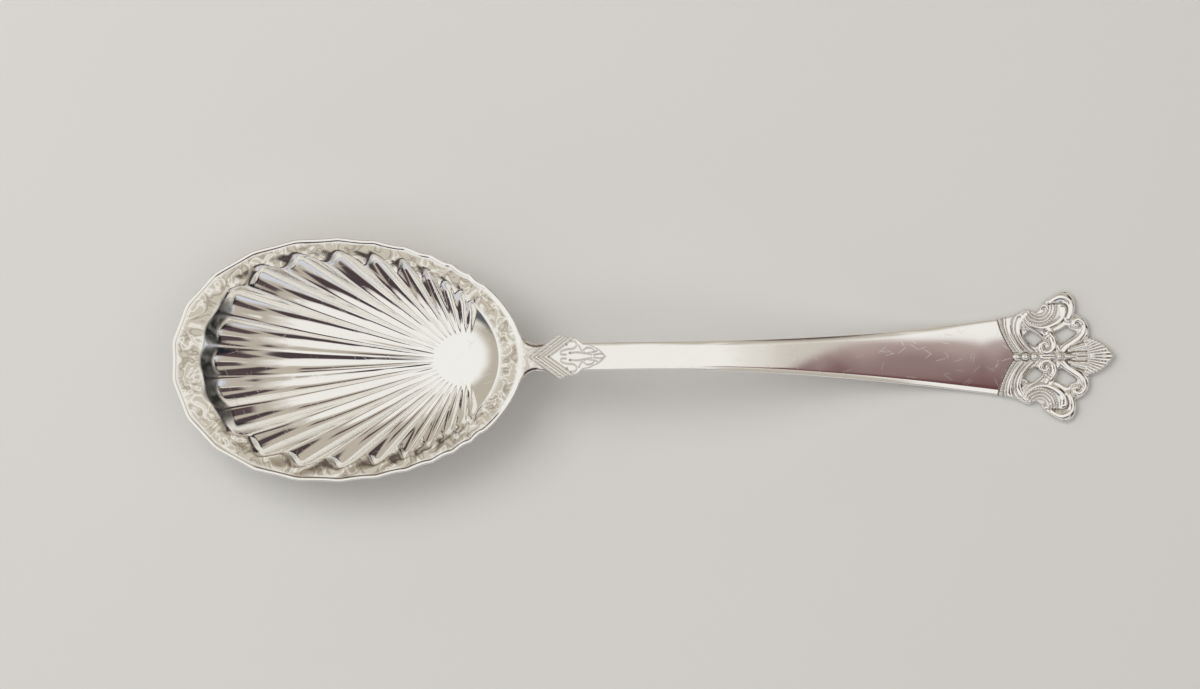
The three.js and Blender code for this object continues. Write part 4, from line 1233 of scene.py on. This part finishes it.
# Brown card in millimetres
CARD_LOW = (20.0, -34.0)
CARD_HIGH = (106.0, 14.0)
CARD_LEVEL = 50.0
CARD_EDGES = [
    # direction in from the edge, and the distances that way between which the card fades in
    ((0.33, -0.94, 0.0), 22.3, 25.3),
    ((0.0, -1.0, 0.0), -8.2, -6.2),
    ((0.0, 1.0, 0.0), -17.0, -13.0),
    ((-1.0, 0.0, 0.0), -106.0, -98.0),
]
CARD_FADE = 7.0  # distance from the axis at which its colour is all the darker or the paler one
CARD_CLOUD = 7.0


def brown_paper():
    """Brown paper, clouded and lit evenly, which shows as a soft brown-pink patch with faded edges."""
    material, tree = empty_material("brown_card_paper")
    place = node(tree, "TexCoord").outputs["Object"]
    field = 1.0
    for direction, outer, inner in CARD_EDGES:
        along = node(tree, "VectorMath", {0: place, 1: direction}, operation="DOT_PRODUCT").outputs["Value"]
        within = node(tree, "MapRange", {"Value": along, "From Min": outer * MM, "From Max": inner * MM},
                      interpolation_type="SMOOTHSTEP").outputs["Result"]
        field = node(tree, "Math", {0: field, 1: within}, operation="MULTIPLY").outputs[0]
    across = node(tree, "SeparateXYZ", {0: place}).outputs["Y"]
    fade = node(tree, "MapRange", {"Value": across, "From Min": -CARD_FADE * MM, "From Max": CARD_FADE * MM})
    cloud = node(tree, "TexNoise", {"Vector": place, "Scale": 1.0 / (CARD_CLOUD * MM), "Detail": 2.0})
    mixed = node(tree, "Math", {0: fade.outputs["Result"], 1: cloud.outputs["Fac"]}, operation="MULTIPLY")
    share = node(tree, "MapRange", {"Value": mixed.outputs[0], "From Max": 0.6}).outputs["Result"]
    colour = node(tree, "Mix", {"Factor": share, "A": linear("#6A4749"), "B": linear("#B5A3A0")},
                  data_type="RGBA").outputs["Result"]
    glow = node(tree, "Emission", {"Color": colour}).outputs[0]
    clear = node(tree, "BsdfTransparent").outputs[0]
    shown = node(tree, "MixShader", {0: field, 1: clear, 2: glow}).outputs[0]
    node(tree, "OutputMaterial", {"Surface": shown})
    return material


def make_brown_card():
    """Brown card close above the stem's end, seen only in the silver: it colours that end brown-pink."""
    card = stage_sheet("brown_card", CARD_LOW, CARD_HIGH, CARD_LEVEL, brown_paper())
    card.visible_camera = False
    card.visible_diffuse = False
    card.visible_shadow = False


def make_softbox(name, place, aim, size, watts):
    """Rectangular area lamp at a place, turned towards an aim, which the silver doesn't mirror."""
    lamp = bpy.data.lights.new(name, "AREA")
    lamp.shape = "RECTANGLE"
    lamp.size, lamp.size_y = size
    lamp.energy = watts
    lamp.color = linear("#FFFEFB")[:3]
    box = bpy.data.objects.new(name, lamp)
    box.location = place
    box.rotation_euler = (Vector(aim) - Vector(place)).to_track_quat("-Z", "Y").to_euler()
    box.visible_glossy = False
    bpy.context.scene.collection.objects.link(box)


FRAME_WIDTH = 305.4 * MM
FRAME_CENTRE = Vector((-11.6, 3.65, 10.0)) * MM
CAMERA_ELEVATION = 87.0
CAMERA_DISTANCE = 1.5
CAMERA_ROLL = -0.5


def make_camera():
    """Camera almost straight above, tipped a little towards the near side."""
    lens = bpy.data.cameras.new("camera")
    lens.sensor_width = 36.0
    lens.lens = lens.sensor_width * CAMERA_DISTANCE / FRAME_WIDTH
    camera = bpy.data.objects.new("camera", lens)
    rise = math.radians(CAMERA_ELEVATION)
    back = Vector((0.0, -math.cos(rise), math.sin(rise)))
    turn = (-back).to_track_quat("-Z", "Y").to_matrix() @ Matrix.Rotation(math.radians(CAMERA_ROLL), 3, "Z")
    camera.matrix_world = Matrix.Translation(FRAME_CENTRE + back * CAMERA_DISTANCE) @ turn.to_4x4()
    bpy.context.scene.collection.objects.link(camera)
    bpy.context.scene.camera = camera


make_camera()
polished = polished_silver()
struck = struck_silver()
solder = silver_solder()
make_bowl(polished)
make_heel_tab(polished)
make_stem(polished)
make_shoulder(struck)
make_crown(struck)
for count, (place, radii) in enumerate(BEADS, start=1):
    make_bead(f"crown_pearl_{count}", place, radii, f"crown_bead_{count}", polished)
make_bead("crown_stud", *BOSS, "crown_boss", polished)
for film in ("neck_solder", "crown_solder"):
    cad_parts[film].data.materials.clear()
    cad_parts[film].data.materials.append(solder)

make_floor()
make_world()
make_brown_card()
make_softbox("ceiling_softbox", (-0.5, 0.3, 0.9), (0.0, 0.0, 0.0), (0.6, 0.6), 4.0)
bpy.context.scene.view_settings.view_transform = "Standard"
